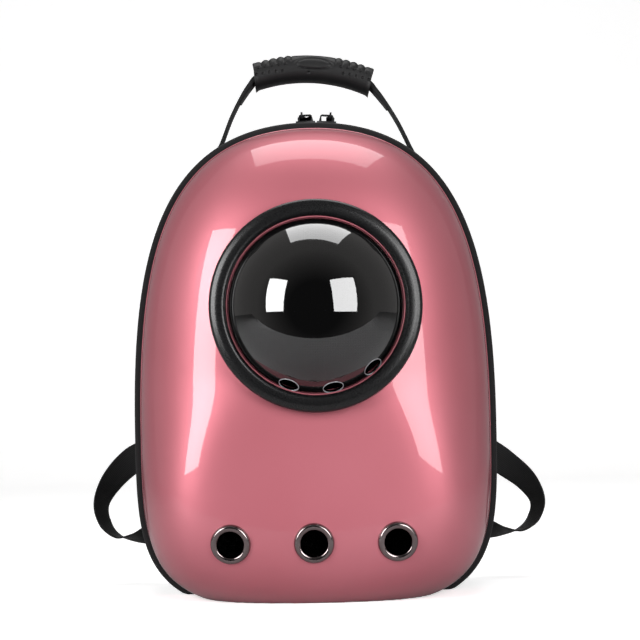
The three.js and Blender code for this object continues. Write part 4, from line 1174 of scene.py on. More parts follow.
def make_window_ring():
    window = settings().window
    lip = window.radius + CLEARANCE
    groove = lip + window.flange_width
    base = window.flange_thickness + CLEARANCE
    lip_top = base + window.ring_lip
    outer = window.radius + window.ring_width
    round_ = window.ring_round
    proud = window.ring_proud
    face_edge = proud - window.ring_crown
    face_width = outer - lip - round_ * 2
    below_seat = -0.004
    profile = np.concatenate([
        [(groove, below_seat), (groove, base), (lip, base)],
        arc((lip + round_, lip_top), (round_, proud - lip_top), 180, 95),
        arc((lip + round_, face_edge), (face_width, window.ring_crown), 80, 25, 5),
        arc((outer - round_, face_edge - round_), (round_, round_), 76, 0),
        [(outer, 0.0)],
    ])
    mesh = lathed("window_ring_fine", np.vstack([profile, [(outer, below_seat)]]))
    place = window_frame()
    mesh.transform(place)
    seat_ring(mesh, len(profile), place)
    ring = piece_from("window_ring_fine", mesh)
    dress(ring, satin_ring(), replaces=["window_ring"], sharp_degrees=50)


def seat_ring(mesh, rim, place):
    """Brings the ring's two lowest edges down onto the shell's face, just under its surface."""
    axis = np.array(place.to_3x3() @ Vector((0, 1, 0)))
    places = points_of(mesh)
    turns = np.arange(LATHE_STEPS) * (rim + 1)
    low = np.concatenate([turns, turns + rim])
    for _ in range(SEATING_ROUNDS):
        gap = places[low, 1] - shell_depth(places[low, 0], places[low, 2])
        places[low] -= axis * (gap / axis[1])[:, None]
    places[low] -= axis * settings().body.wall * SUNK_SHARE
    mesh.vertices.foreach_set("co", places.ravel())


def points_of(mesh):
    places = np.zeros(len(mesh.vertices) * 3)
    mesh.vertices.foreach_get("co", places)
    return places.reshape(-1, 3)


# The eyelets

def make_eyelets():
    trim = settings().trim
    bore, rim, proud = trim.eyelet_bore, trim.eyelet_radius, trim.eyelet_proud
    barrel = bore + trim.eyelet_wall
    back = -trim.eyelet_reach
    seat = -trim.eyelet_seat
    washer_edge, washer_middle = 0.0012, 0.0016
    edge = 0.0006
    crest = bore + (rim - bore) * 0.52
    slope = 0.0011
    profile = np.concatenate([
        [(bore, back), (trim.washer_radius, back), (trim.washer_radius, back + washer_edge)],
        [(barrel, back + washer_middle), (barrel, seat - 0.001), (rim - edge, seat - edge)],
        arc((crest, seat), (rim - crest, proud - seat), 0, 90, 14),
        arc((crest, proud - slope), (crest - bore - edge / 2, slope), 100, 165, 7),
        [(bore + 0.0001, proud - edge * 2), (bore, proud - edge * 3)],
    ])
    names = ("eyelet_left", "eyelet_middle", "eyelet_right")
    for name, place in zip(names, eyelet_frames()):
        mesh = lathed(f"{name}_fine", profile, EYELET_STEPS)
        mesh.transform(place)
        eyelet = piece_from(f"{name}_fine", mesh)
        dress(eyelet, plated_gunmetal(), replaces=[name], sharp_degrees=50)


# Edging, zip and the soft rear half

def band(name, outer_rows, inner_rows, floor):
    """A band round the bag: rows of depth and how far out, down its outer face and back up inside."""
    outline = Outline()
    rings = [outline.ring(depth, out) for depth, out in outer_rows]
    rings += [outline.ring(depth, out, floor) for depth, out in reversed(inner_rows)]
    return piece_from(name, lofted(name, rings, loop=True))


def make_edging():
    trim = settings().trim
    at = depths()
    width, out = trim.piping_width, trim.piping_out
    rows = []
    low_share, fullness = 0.3, 0.7
    for turn in np.linspace(0, math.pi, PIPING_ROWS):
        swell = out * (low_share + (1 - low_share) * math.sin(turn) ** fullness)
        rows.append((at.piping + width * (1 - math.cos(turn)) / 2, swell))
    inside = [(at.piping, -trim.piping_inside), (at.piping + width, -trim.piping_inside)]
    piping = band("edge_piping_fine", rows, inside, settings().body.wall)
    dress(piping, packcloth(), replaces=["edge_piping"], sharp_degrees=60)

    half = trim.band_width / 2
    room = 0.0006
    bed = trim.teeth_width / 2 + room
    out = trim.band_out
    edge_drop, edge, cord_rise, cord_side = 0.0007, 0.0005, 0.0005, 0.0002
    profile = [
        (-half, out - edge_drop), (-half + edge, out), (-half + 0.004, out + 0.0001), (-bed - 0.002, out),
        (-bed - 0.0008, out + cord_rise), (-bed, out + cord_side), (-bed + room, out),
    ]
    rows = [(at.middle + side, level) for side, level in profile]
    rows += [(at.middle - side, level) for side, level in reversed(profile)]
    low = out - trim.band_thickness
    inside = [(at.middle - half, low), (at.middle + half, low)]
    tape = band("zip_band_fine", rows, inside, trim.band_thickness)
    dress(tape, zip_tape(), replaces=["zip_band"], sharp_degrees=60)


def gusset_profile(along):
    """How far the soft side wall stands out at a share of its depth: a welt in front, then slack cloth."""
    trim = settings().trim
    rear = settings().rear
    shares = [0, 0.03, 0.07, 0.11, 0.14, 0.2, 0.5, 0.8, 0.95, 1]
    outs = [0.35, 0.85, 1, 0.8, 0.42, 0.46, 0.52, 0.36, 0.12, 0]
    backs = [0, 0, 0, 0, 0, 0.01, 0.1, 0.4, 0.82, 1]
    out = np.interp(along, shares, outs)
    back = np.interp(along, shares, backs)
    return trim.piping_out * out - rear.rear_in * back


def make_rear_half():
    trim = settings().trim
    rear = settings().rear
    at = depths()
    outline = Outline()
    run = np.arange(OUTLINE_STEPS) / OUTLINE_STEPS * 2 * math.pi
    above_bulge = (outline.place[:, 1] - rear.bulge_height) / rear.bulge_spread
    right_bulge = np.exp(-above_bulge**2) * (outline.place[:, 0] > 0)
    rings = []
    for along in np.linspace(0, 1, GUSSET_ROWS) ** 1.25:
        slack = math.sin(math.pi * min(1, max(0, (along - WELT_SHARE) / (1 - WELT_SHARE))))
        folds = sum(
            height * np.sin(count * run + slant * along + start) for height, count, slant, start in FOLDS
        )
        out = gusset_profile(along) + slack * folds + rear.side_bulge * right_bulge * slack ** 0.4
        rings.append(outline.ring(at.gusset + rear.gusset_depth * along, out))
    bed = trim.piping_out * 0.35 - rear.gusset_wall
    for along, out in ((1.0, -rear.rear_in - rear.gusset_wall), (0.55, bed), (0.0, bed)):
        rings.append(outline.ring(at.gusset + rear.gusset_depth * along, out, rear.gusset_wall))
    gusset = piece_from("rear_gusset_cloth", lofted("rear_gusset_cloth", rings, loop=True))
    dress(gusset, packcloth(), replaces=["rear_gusset"], sharp_degrees=60)
    make_back_panel()


def make_back_panel():
    """The padded back: a foam pad in a mesh cover, bound round its edge."""
    rear = settings().rear
    at = depths()
    outline = Outline(PANEL_STEPS)
    edge, round_ = -rear.rear_in, rear.panel_round
    profile = [
        (at.panel + 0.0004, edge - 0.001), (at.panel + 0.003, edge - 0.0004),
        (at.back - round_ * 1.7, edge - 0.0006), (at.back - round_ * 0.9, edge - round_ * 0.5),
        (at.back - round_ * 0.5, edge - round_ * 1.4), (at.back - round_ * 0.35, edge - round_ * 3.5),
    ]
    lowest, slant = 0.0006, 0.4
    rings = [outline.ring(depth, out, max(lowest, (depth - at.panel) * slant)) for depth, out in profile]
    centre = settings().body.swell_height
    poles = [(0, profile[0][0] - at.middle, centre), (0, profile[-1][0] - at.middle, centre)]
    panel = piece_from("back_panel_pad", lofted("back_panel_pad", rings, poles=poles))
    front = at.panel - at.middle + 0.004
    margin = 0.010

    def held(co):
        return (co[:, 1] < front) | (panel_margin(co, edge) < margin)

    inflate(panel, PANEL_PAD, held)
    dress(panel, padding_cover(), replaces=["back_panel"], sharp_degrees=70)

    make_panel_binding(at.back, edge)


def make_panel_binding(back, edge):
    """The cloth binding round the padded back's edge: a tube whose inner half ends higher at the foot."""
    outline = Outline()
    half_depth, half_height = 0.0048, 0.0040
    depth, out = back - 0.0046, edge - 0.0042
    outer_floor, inner_floor = 0.0003, 0.0023
    rings = []
    for k in range(PANEL_BINDING_ROWS):
        turn = 2 * math.pi * k / PANEL_BINDING_ROWS
        aside, up = half_depth * math.cos(turn), half_height * math.sin(turn)
        floor = outer_floor if k < PANEL_BINDING_ROWS / 2 else inner_floor
        rings.append(outline.ring(depth + aside, out + up, floor))
    binding = piece_from("back_panel_binding", lofted("back_panel_binding", rings, loop=True))
    dress(binding, packcloth(), sharp_degrees=60)


def panel_margin(co, edge):
    """How far inside the padded back's edge each point lies."""
    ring = Outline(MARGIN_STEPS).ring(0, edge)[:, [0, 2]]
    flat = co[:, [0, 2]]
    parts = [flat[first:first + POINTS_AT_ONCE] for first in range(0, len(flat), POINTS_AT_ONCE)]
    return np.concatenate([np.linalg.norm(part[:, None] - ring[None], axis=2).min(1) for part in parts])


def inflate(piece, pad, held):
    """Remeshes a pad evenly and blows it up as cloth. Held points stay, and none moves past the most."""
    remesh = piece.modifiers.new("remesh", "REMESH")
    remesh.mode = "VOXEL"
    remesh.voxel_size = pad["voxel"]
    flatten(piece)
    count = len(piece.data.vertices)
    rest = np.zeros(count * 3)
    piece.data.vertices.foreach_get("co", rest)
    rest = rest.reshape(-1, 3)
    group = piece.vertex_groups.new(name="held")
    group.add([int(i) for i in np.flatnonzero(held(rest))], 1.0, "REPLACE")
    cloth = piece.modifiers.new("cloth", "CLOTH")
    for setting, value in CLOTH.items():
        setattr(cloth.settings, setting, value)
    cloth.settings.use_pressure = True
    cloth.settings.uniform_pressure_force = pad["pressure"]
    cloth.settings.effector_weights.gravity = 0
    cloth.settings.vertex_group_mass = "held"
    cloth.point_cache.frame_start = 1
    cloth.point_cache.frame_end = CLOTH_FRAMES
    scene = bpy.context.scene
    for step in range(1, CLOTH_FRAMES + 1):
        scene.frame_set(step)
    graph = bpy.context.evaluated_depsgraph_get()
    blown = piece.evaluated_get(graph).data
    moved = np.zeros(count * 3)
    blown.vertices.foreach_get("co", moved)
    shift = moved.reshape(-1, 3) - rest
    far = np.linalg.norm(shift, axis=1)
    shift *= np.minimum(1.0, pad["most"] / np.maximum(far, TINY))[:, None]
    piece.modifiers.clear()
    piece.vertex_groups.clear()
    scene.frame_set(1)
    piece.data.vertices.foreach_set("co", (rest + shift).ravel())
    smooth = piece.modifiers.new("smooth", "SUBSURF")
    smooth.levels = smooth.render_levels = 1
    flatten(piece)


# Ribbons and pads

def rounded_section(points, power):
    """A closed section from -1 to 1 each way, boxier the higher the power."""
    turn = np.linspace(0, 2 * math.pi, points, endpoint=False)
    return np.column_stack([
        np.sign(np.cos(turn)) * np.abs(np.cos(turn)) ** (2 / power),
        np.sign(np.sin(turn)) * np.abs(np.sin(turn)) ** (2 / power),
    ])


WEB_SECTION = np.array([
    (-1, 0.5), (-0.985, 0.85), (-0.95, 1), (-0.6, 1), (0, 1), (0.6, 1), (0.95, 1), (0.985, 0.85), (1, 0.5),
    (1, -0.5), (0.985, -0.85), (0.95, -1), (0.6, -1), (0, -1), (-0.6, -1), (-0.95, -1), (-0.985, -0.85),
    (-1, -0.5),
])
PAD_SECTION = rounded_section(30, 3.0)


def ribbon(name, route, section=WEB_SECTION):
    return piece_from(name, lofted(name, route.rings(section)))


# The grab handle

def grip_frame(share):
    """A place along the grip's middle line, and how far the grip leans there."""
    handle = settings().handle
    radius = (handle.half_span**2 + handle.grip_sag**2) / (2 * handle.grip_sag)
    turn = share * math.asin(handle.half_span / radius)
    across = radius * math.sin(turn)
    up = -radius * (1 - math.cos(turn))
    lean = handle.grip_lean
    at = np.array([
        handle.grip_aside + across * math.cos(lean) + up * math.sin(lean),
        depths().handle - depths().middle,
        settings().body.height + handle.grip_height - across * math.sin(lean) + up * math.cos(lean),
    ])
    return at, lean + handle.grip_end * share


def handle_rows(side):
    """Half of the handle strap's route, from the grip's middle down one leg to its sewn foot."""
    handle = settings().handle
    trim = settings().trim
    thickness = handle.strap_thickness
    seat = trim.piping_out * 0.55 + CLEARANCE + thickness / 2
    deep = depths().handle - depths().middle

    def row(at):
        return {"at": at, "across": (0, 1, 0), "width": handle.strap_width, "thickness": thickness}

    def foot(along):
        x = side * (handle.foot_half_span + along) + handle.foot_aside
        return np.array([x, deep, crown_at(x, seat)])

    end = grip_frame(side)[0]
    leg_top = end + np.array([side * handle.leg_out, 0, -handle.leg_drop])
    leg_foot = foot(0) + np.array([-side * handle.foot_bend, 0, handle.foot_rise])
    middle = (leg_top + leg_foot) / 2 + np.array([side * LEG_BOW[0], 0, LEG_BOW[1]])
    return [
        *[row(grip_frame(side * share)[0]) for share in (0, 0.33, 0.66, 0.95)],
        row(leg_top), row(middle), row(leg_foot),
        *[row(foot(along)) for along in (handle.foot_bend, handle.foot_length / 2, handle.foot_length)],
    ]


def handle_route():
    rows = [*reversed(handle_rows(-1)), *handle_rows(1)[1:]]
    return Route(rows, (len(rows) - 1) * RIBBON_STEPS_A_ROW)


def pressed_in(along, up):
    """How deep the moulded marks on the grip's faces are at a place along and up the grip."""
    marks = [PIN_MARK]
    for start, step, first, last in DIMPLES.values():
        for k in range(DIMPLES_A_ROW):
            height = first + (last - first) * k / (DIMPLES_A_ROW - 1)
            marks += [(side * (start + step * k), height) for side in (-1, 1)]
    depth = np.zeros_like(along)
    for x, z in marks:
        near = 1 - ((along - x) ** 2 + (up - z) ** 2) / DIMPLE_RADIUS**2
        depth = np.maximum(depth, DIMPLE_DEPTH * near.clip(0) ** 0.7)
    reach = np.hypot((along - OVAL["along"]) / OVAL["half_length"], (up - OVAL["up"]) / OVAL["half_height"])
    from_line = (reach - 1) * OVAL["half_height"] / OVAL_GROOVE["width"]
    groove = OVAL_GROOVE["depth"] * np.exp(-from_line**2)
    plate = OVAL_PLATE * (reach < 0.9)
    return np.maximum(depth, groove) + plate


def grip_ring(share):
    """One section of the grip: ribs over its top, and a flared lip at both ends."""
    handle = settings().handle
    centre, lean = grip_frame(share)
    turn = np.linspace(0, 2 * math.pi, GRIP_STATIONS, endpoint=False)
    place = (abs(share) - GRIP["smooth_half"]) / (1 - GRIP["smooth_half"]) * GRIP["ribs"]
    rib = handle.rib_height * (abs(math.sin(math.pi * place)) ** 0.75 - 0.6) if place > 0 else 0.0
    cover = np.clip((np.sin(turn) - GRIP["ribs_from"]) / GRIP["ribs_fade"], 0, 1)
    lip = math.exp(-((1 - abs(share)) * handle.half_span / GRIP["lip_width"]) ** 2)
    half_up = handle.grip_thickness / 2
    half_deep = handle.grip_depth / 2
    power = 2 / GRIP["boxiness"]
    up = half_up * np.sign(np.sin(turn)) * np.abs(np.sin(turn)) ** power
    deep = half_deep * np.sign(np.cos(turn)) * np.abs(np.cos(turn)) ** power
    along = np.full_like(up, share * handle.half_span)
    ribbed = rib * cover * cover * (3 - 2 * cover)
    grow = ribbed + GRIP["lip_height"] * lip - pressed_in(along, up)
    size = np.hypot(up, deep)
    up = up + grow * up / size
    deep = deep + grow * deep / size
    aside = np.sign(share) * GRIP["lip_out"] * lip * np.clip(np.sin(turn) - 0.2, 0, 1)
    return centre + np.column_stack([
        math.sin(lean) * up + math.cos(lean) * aside,
        deep,
        math.cos(lean) * up - math.sin(lean) * aside,
    ])


def slot_ring(share, grow=0.0):
    """One section of the slot that the strap runs through."""
    handle = settings().handle
    centre, lean = grip_frame(share)
    section = rounded_section(GRIP_STATIONS, 7.0)
    up = section[:, 1] * (handle.strap_thickness / 2 + handle.slot_clearance + grow)
    deep = section[:, 0] * (handle.strap_width / 2 + handle.slot_clearance + grow)
    return centre + np.column_stack([math.sin(lean) * up, deep, math.cos(lean) * up])


def make_grip():
    flare = 0.0032
    past_end = 1.004
    outside = [grip_ring(share) for share in np.linspace(-1, 1, GRIP_SECTIONS)]
    slot = [slot_ring(share) for share in np.linspace(1, -1, SLOT_SECTIONS)]
    mouths = [slot_ring(share, flare) for share in (past_end, -past_end)]
    rings = [*outside, mouths[0], *slot, mouths[1]]
    grip = piece_from("handle_grip_fine", lofted("handle_grip_fine", rings, loop=True))
    dress(grip, moulded_rubber(), replaces=["handle_grip"], sharp_degrees=55)


def make_handle():
    strap = ribbon("handle_strap_web", handle_route())
    dress(strap, ribbed_webbing(), replaces=["handle_strap"], sharp_degrees=60)
    make_grip()
    for name, side in SIDES.items():
        make_sleeve(name, side)


def make_sleeve(name, side):
    """The cloth sleeve round the handle's strap beside the grip. It swells to the leg's inner side."""
    handle = settings().handle
    places = [grip_frame(side * share)[0] for share in (0.90, 1.0)]
    places += [row["at"] for row in handle_rows(side)[4:7]]
    width = handle.strap_width + SLEEVE["wider"]
    rows = [
        {"at": at, "across": (0, 1, 0), "width": width, "thickness": thickness}
        for at, thickness in zip(places, SLEEVE["thickness"])
    ]
    route = Route(rows, SLEEVE_STEPS)
    inwards = np.sign(np.sum(route.face * np.array([side, 0, 0.4]), axis=1))
    shift = (route.thickness - handle.strap_thickness - SLEEVE["over"]) / 2
    route.at = route.at - route.face * (inwards * shift)[:, None]
    for part in ("at", "across", "width", "thickness", "face", "along"):
        setattr(route, part, getattr(route, part)[SLEEVE["stretch"]])
    sleeve = ribbon(f"handle_sleeve_{name}", route, rounded_section(28, 2.8))
    dress(sleeve, packcloth(), sharp_degrees=60)


# Zip sliders, pulls and buckles keep the frame's form, with their edges rounded

def rounded_copy(name, node, width, segments=3):
    piece = piece_from(name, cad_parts[node].data.copy())
    form = bmesh.new()
    form.from_mesh(piece.data)
    bmesh.ops.remove_doubles(form, verts=form.verts, dist=1e-6)
    bmesh.ops.dissolve_limit(form, angle_limit=math.radians(1.5), verts=form.verts, edges=form.edges)
    form.to_mesh(piece.data)
    form.free()
    edge = piece.modifiers.new("edge", "BEVEL")
    edge.width = width
    edge.segments = segments
    edge.limit_method = "ANGLE"
    edge.angle_limit = math.radians(28)
    edge.use_clamp_overlap = True
    return flatten(piece)


def make_zip_pulls():
    for side in SIDES:
        slider = rounded_copy(f"zip_slider_{side}_cast", f"zip_slider_{side}", 0.0003)
        dress(slider, painted_zinc(), replaces=[f"zip_slider_{side}"])
        pull = rounded_copy(f"zip_pull_{side}_cast", f"zip_pull_{side}", 0.00035)
        dress(pull, painted_zinc(), body=f"pull_{side}", replaces=[f"zip_pull_{side}"])


# Shoulder straps

def shoulder_rows(side):
    straps = settings().straps
    top = settings().body.height - straps.top_down
    rest = depths().back + CLEARANCE + straps.thickness / 2 - depths().middle
    # share of the way down, of the way out, of the bow, of the taper, and of the padding
    table = [
        (0, 0, 0, 0.25, 1), (0.08, 0.03, 0.1, 0.08, 1), (0.3, 0.22, 0.72, 0, 1), (0.56, 0.5, 1, 0.1, 1),
        (0.78, 0.76, 0.86, 0.4, 1), (0.92, 0.91, 0.6, 0.85, 0.6), (1, 1, 0.44, 1, 0.5),
    ]
    places = [
        np.array([
            side * (straps.top_spread + (straps.end_spread - straps.top_spread) * spread),
            rest + straps.bow * off,
            top + (straps.end_height - top) * down,
        ]) for down, spread, off, _, _ in table
    ]
    rows = []
    for k, (_, _, _, taper, thick) in enumerate(table):
        onwards = places[min(k + 1, len(places) - 1)] - places[max(k - 1, 0)]
        across = np.cross((onwards[0], 0, onwards[2]), (0, 1, 0))
        rows.append({
            "at": places[k],
            "across": across / np.linalg.norm(across),
            "width": straps.width + (straps.end_width - straps.width) * taper,
            "thickness": straps.thickness * thick,
        })
    return rows


def buckle_frame(side):
    """The buckle's frame at the strap's end: across it, along the strap, and out of its face."""
    straps = settings().straps
    route = Route(shoulder_rows(side), BUCKLE_STEPS)
    along = route.at[-1] - route.at[-2]
    along /= np.linalg.norm(along)
    across = np.cross(along, (0, 1, 0))
    across /= np.linalg.norm(across)
    at = route.at[-1] + along * (straps.buckle_stand_off + straps.buckle_length / 2)
    return at, across, along, np.cross(across, along)


def bar_rows(side, end, reach_in, reach_out):
    """Webbing round one of the buckle's bars: in beside the bag, round the bar, and out on the outer side."""
    straps = settings().straps
    centre, across, along, out = buckle_frame(side)
    hook = straps.hook_radius
    bar = straps.buckle_length / 2 - straps.buckle_bar / 2
    table = [
        (reach_in, -hook), (hook * 0.3, -hook), (-hook * 0.7, -hook * 0.75), (-hook, 0),
        (-hook * 0.7, hook * 0.75), (hook * 0.3, hook),
        (reach_out, hook + max(0, reach_out - straps.web_width) * 0.15),
    ]
    return [{
        "at": centre + along * end * (bar + beyond) + out * off,
        "across": across,
        "width": straps.web_width,
        "thickness": straps.web_thickness,
    } for beyond, off in table]


def webbing_rows(side, reach, anchor_height, stretch):
    """The webbing's route: from the back's lower corner, out beside the bag, up to the buckle, round its
    lower bar and down again as a short tail."""
    straps = settings().straps
    hooked = bar_rows(side, 1, straps.web_width * 0.7, straps.tail)
    edge = side_at(anchor_height)
    rest = depths().back + CLEARANCE + straps.web_thickness / 2 - depths().middle
    leave = hooked[0]["at"]
    # share of the reach, of the rise, of the way back to the buckle, and degrees turned, 90 facing front
    table = [
        (-0.75, 0, 0.04, -90), (-0.22, 0, 0.12, -90), (0, -0.01, 0.42, -82), (0.25, -0.04, 0.2, -52),
        (0.5, -0.07, -0.2, -22), (0.76, -0.05, -0.3, 3), (0.94, 0.08, -0.3, 18), (1, 0.27, -0.2, 28),
        (0.85, 0.5, 0.1, 50), (0.5, 0.74, 0.5, 75),
    ]
    places = [
        np.array([
            side * (edge + reach * out),
            rest + (leave[1] - rest) * back,
            anchor_height + (leave[2] - anchor_height) * up * stretch,
        ]) for out, up, back, _ in table
    ]
    route = [*places, leave]
    loop = []
    for k, (_, _, _, turn) in enumerate(table):
        direction = route[k + 1] - route[max(0, k - 1)]
        direction = direction / np.linalg.norm(direction)
        deep = np.array([0, 1, 0]) - direction * direction[1]
        deep /= np.linalg.norm(deep)
        flat = np.cross(direction, deep) * side
        turn = math.radians(turn)
        across = deep * math.cos(turn) + flat * math.sin(turn)
        loop.append({**hooked[0], "at": places[k], "across": across})
    if np.dot(loop[-1]["across"], hooked[0]["across"]) < 0:
        for row in loop:
            row["across"] = -row["across"]
    return loop + hooked


def loop_sizes(name):
    straps = settings().straps
    return {
        "left": (straps.left_reach, straps.left_anchor, straps.left_stretch),
        "right": (straps.right_reach, straps.right_anchor, straps.right_stretch),
    }[name]


def webbing_route(name):
    rows = webbing_rows(SIDES[name], *loop_sizes(name))
    return Route(rows, (len(rows) - 1) * RIBBON_STEPS_A_ROW)


def tab_route(name):
    overlap = settings().straps.tab_overlap
    rows = bar_rows(SIDES[name], -1, overlap, overlap)
    return Route(rows, (len(rows) - 1) * RIBBON_STEPS_A_ROW)


def pad_route(name):
    """The padded strap, pressed flat at its upper end where it is sewn down."""
    route = Route(shoulder_rows(SIDES[name]), PAD_STEPS)
    down = np.arange(len(route.at)) / (len(route.at) - 1)
    squeeze = 1 - STRAP_PAD["pressed"] * np.clip(1 - down / STRAP_PAD["pressed_share"], 0, 1) ** 1.5
    lower = (1 - squeeze) * route.thickness / 2
    route.at = route.at - np.array([0, 1, 0]) * lower[:, None]
    route.thickness = route.thickness * squeeze
    return route


def make_shoulder_straps():
    for name in SIDES:
        slim = pad_route(name)
        slim.width = slim.width - STRAP_PAD["slimmer"]
        slim.thickness = slim.thickness * STRAP_PAD["thinner"]
        pad = ribbon(f"shoulder_strap_{name}_pad", slim, PAD_SECTION)
        edges = np.vstack([slim.line(slim.width / 2, 0), slim.line(-slim.width / 2, 0)])
        ends = np.vstack([slim.at[:1], slim.at[-1:]])

        def held(co, edges=edges, ends=ends):
            near = np.linalg.norm(co[:, None] - edges[None], axis=2).min(1) < STRAP_PAD["held_edge"]
            from_ends = np.abs(co[:, 2][:, None] - ends[:, 2])
            return near | np.any(from_ends < STRAP_PAD["held_ends"], axis=1)

        inflate(pad, STRAP_PAD, held)
        dress(pad, padding_cover(), replaces=[f"shoulder_strap_{name}"], sharp_degrees=70)

        for edge, sign in (("outer", SIDES[name]), ("inner", -SIDES[name])):
            rim = pad_route(name)
            toward = np.sign(rim.across[0, 0]) * sign
            rim.at = rim.line(toward * (rim.width / 2 - STRAP_BINDING["inset"]), 0)
            rim.width = np.full(len(rim.at), STRAP_BINDING["width"])
            rim.thickness = rim.thickness * STRAP_BINDING["share"] + STRAP_BINDING["over"]
            binding = ribbon(f"shoulder_strap_{name}_{edge}_binding", rim, rounded_section(18, 2.6))
            dress(binding, zip_tape(), sharp_degrees=60)

        tab = ribbon(f"strap_tab_{name}_web", tab_route(name))
        dress(tab, ribbed_webbing(), replaces=[f"strap_tab_{name}"], sharp_degrees=60)
        buckle = rounded_copy(f"strap_buckle_{name}_moulded", f"strap_buckle_{name}", 0.0006)
        dress(buckle, hard_plastic(), replaces=[f"strap_buckle_{name}"])
        web = webbing_route(name)
        run = run_length(web.at)
        hemmed = run > run[-1] - HEM["length"]
        web.thickness = np.where(hemmed, web.thickness * HEM["thicker"], web.thickness)
        piece = ribbon(f"strap_webbing_{name}_web", web)
        dress(piece, ribbed_webbing(), replaces=[f"strap_webbing_{name}"], sharp_degrees=60)


# Zip teeth and stitches are set along their lines by Geometry Nodes

def along_tree(name, floats, unit_size, turned, alternate=False):
    """A tree that sets small rounded bodies along the lines of a mesh."""
    tree = bpy.data.node_groups.new(name, "GeometryNodeTree")
    tree.interface.new_socket("Geometry", in_out="INPUT", socket_type="NodeSocketGeometry")
    for socket, value in floats.items():
        made = tree.interface.new_socket(socket, in_out="INPUT", socket_type="NodeSocketFloat")
        made.default_value = value
    tree.interface.new_socket("Material", in_out="INPUT", socket_type="NodeSocketMaterial")
    tree.interface.new_socket("Geometry", in_out="OUTPUT", socket_type="NodeSocketGeometry")
    nodes = Nodes(tree)
    given = nodes.add("NodeGroupInput").outputs
    line = nodes.add("GeometryNodeMeshToCurve", ("Mesh", given["Geometry"])).outputs["Curve"]
    spaced = nodes.add(
        "GeometryNodeCurveToPoints", ("Curve", line), ("Length", given["Pitch"]), mode="LENGTH",
    ).outputs
    points = spaced["Points"]
    if alternate:
        index = nodes.add("GeometryNodeInputIndex").outputs[0]
        odd = nodes.math("MODULO", index, 2.0)
        aside = nodes.math("MULTIPLY", nodes.math("MULTIPLY_ADD", odd, 2.0, -1.0), given["Aside"])
        offset = nodes.add("ShaderNodeCombineXYZ", ("Y", aside)).outputs[0]
        points = nodes.add(
            "GeometryNodeSetPosition", ("Geometry", points), ("Offset", offset),
        ).outputs[0]
    body = nodes.add("GeometryNodeMeshUVSphere", ("Segments", 8), ("Rings", 5), ("Radius", 0.5)).outputs[0]
    sides = [(k, given[socket]) for k, socket in enumerate(unit_size)]
    size = nodes.add("ShaderNodeCombineXYZ", *sides).outputs[0]
    shaped = nodes.add("GeometryNodeTransform", ("Geometry", body), ("Scale", size)).outputs[0]
    turn = nodes.add(
        "FunctionNodeAlignRotationToVector", ("Vector", spaced["Tangent"]), axis="X",
    ).outputs[0]
    if turned:
        turn = nodes.add(
            "FunctionNodeAlignRotationToVector", ("Rotation", turn), ("Vector", (0.0, 1.0, 0.0)),
            axis="Y", pivot_axis="X",
        ).outputs[0]
    uneven = nodes.add(
        "FunctionNodeRandomValue", (2, 1.0 - UNEVEN), (3, 1.0 + UNEVEN), ("Seed", 7), data_type="FLOAT",
    ).outputs[1]
    copies = nodes.add(
        "GeometryNodeInstanceOnPoints", ("Points", points), ("Instance", shaped), ("Rotation", turn),
        ("Scale", uneven),
    ).outputs[0]
    real = nodes.add("GeometryNodeRealizeInstances", ("Geometry", copies)).outputs[0]
    named = nodes.add(
        "GeometryNodeSetMaterial", ("Geometry", real), ("Material", given["Material"]),
    ).outputs[0]
    result = nodes.add("NodeGroupOutput")
    tree.links.new(named, result.inputs["Geometry"])
    return tree


def lines_mesh(name, lines):
    """A mesh that holds only lines, each an open run of places."""
    points, edges = [], []
    for line in lines:
        first = len(points)
        points += [tuple(p) for p in line]
        edges += [(first + k, first + k + 1) for k in range(len(line) - 1)]
    mesh = bpy.data.meshes.new(name)
    mesh.from_pydata(points, edges, [])
    return mesh


def run_tree(piece, tree, material, **sizes):
    """Runs a tree on a piece and keeps its plain mesh. Each input is set by its socket's identifier."""
    grown = piece.modifiers.new("along", "NODES")
    grown.node_group = tree
    named = {item.name: item.identifier for item in tree.interface.items_tree if item.in_out == "INPUT"}
    for socket, value in sizes.items():
        grown[named[socket]] = value
    grown[named["Material"]] = material
    piece.update_tag()
    return flatten(piece)


def make_zip_teeth():
    trim = settings().trim
    outline = Outline(COIL_STEPS)
    level = trim.band_out + CLEARANCE + trim.teeth_height / 2
    ring = outline.ring(depths().middle, level)
    first = round(len(ring) * trim.teeth_start)
    path = ring[first:len(ring) - first + 1]
    floats = {"Pitch": 0.001, "Aside": 0.001, "Thick": 0.001, "Wide": 0.004, "High": 0.002}
    tree = along_tree("carrier zip coil", floats, ("Thick", "Wide", "High"), turned=True, alternate=True)
    coil = piece_from("zip_coil", lines_mesh("zip_coil", [path]))
    run_tree(
        coil, tree, hard_plastic(),
        Pitch=trim.teeth_pitch / 2, Aside=trim.teeth_width * 0.2, Thick=trim.teeth_pitch * 0.72,
        Wide=trim.teeth_width * 0.6, High=trim.teeth_height,
    )
    dress(coil, hard_plastic(), replaces=["zip_teeth"], sharp_degrees=80)


def ring_line(depth, out, lowest=0.006):
    """A stitch line round the bag, but for its foot."""
    ring = Outline(SEAM_STEPS).ring(depth, out)
    above = np.flatnonzero(ring[:, 2] > lowest)
    return ring[above[0]:above[-1] + 1]


def boxed_cross(centre, across, along, half_across, half_along):
    """The sewn box and cross that hold a webbing's end."""
    corners = [
        centre + across * half_across * u + along * half_along * v
        for u, v in ((-1, -1), (1, -1), (1, 1), (-1, 1))
    ]
    order = [0, 1, 2, 3, 0, 2]
    lines = [np.array([corners[k] for k in order]), np.array([corners[1], corners[3]])]
    return [even_line(line) for line in lines]


def even_line(points, step=0.0005):
    run = run_length(points)
    marks = np.arange(0, run[-1], step)
    return np.column_stack([np.interp(marks, run, points[:, k]) for k in range(3)])


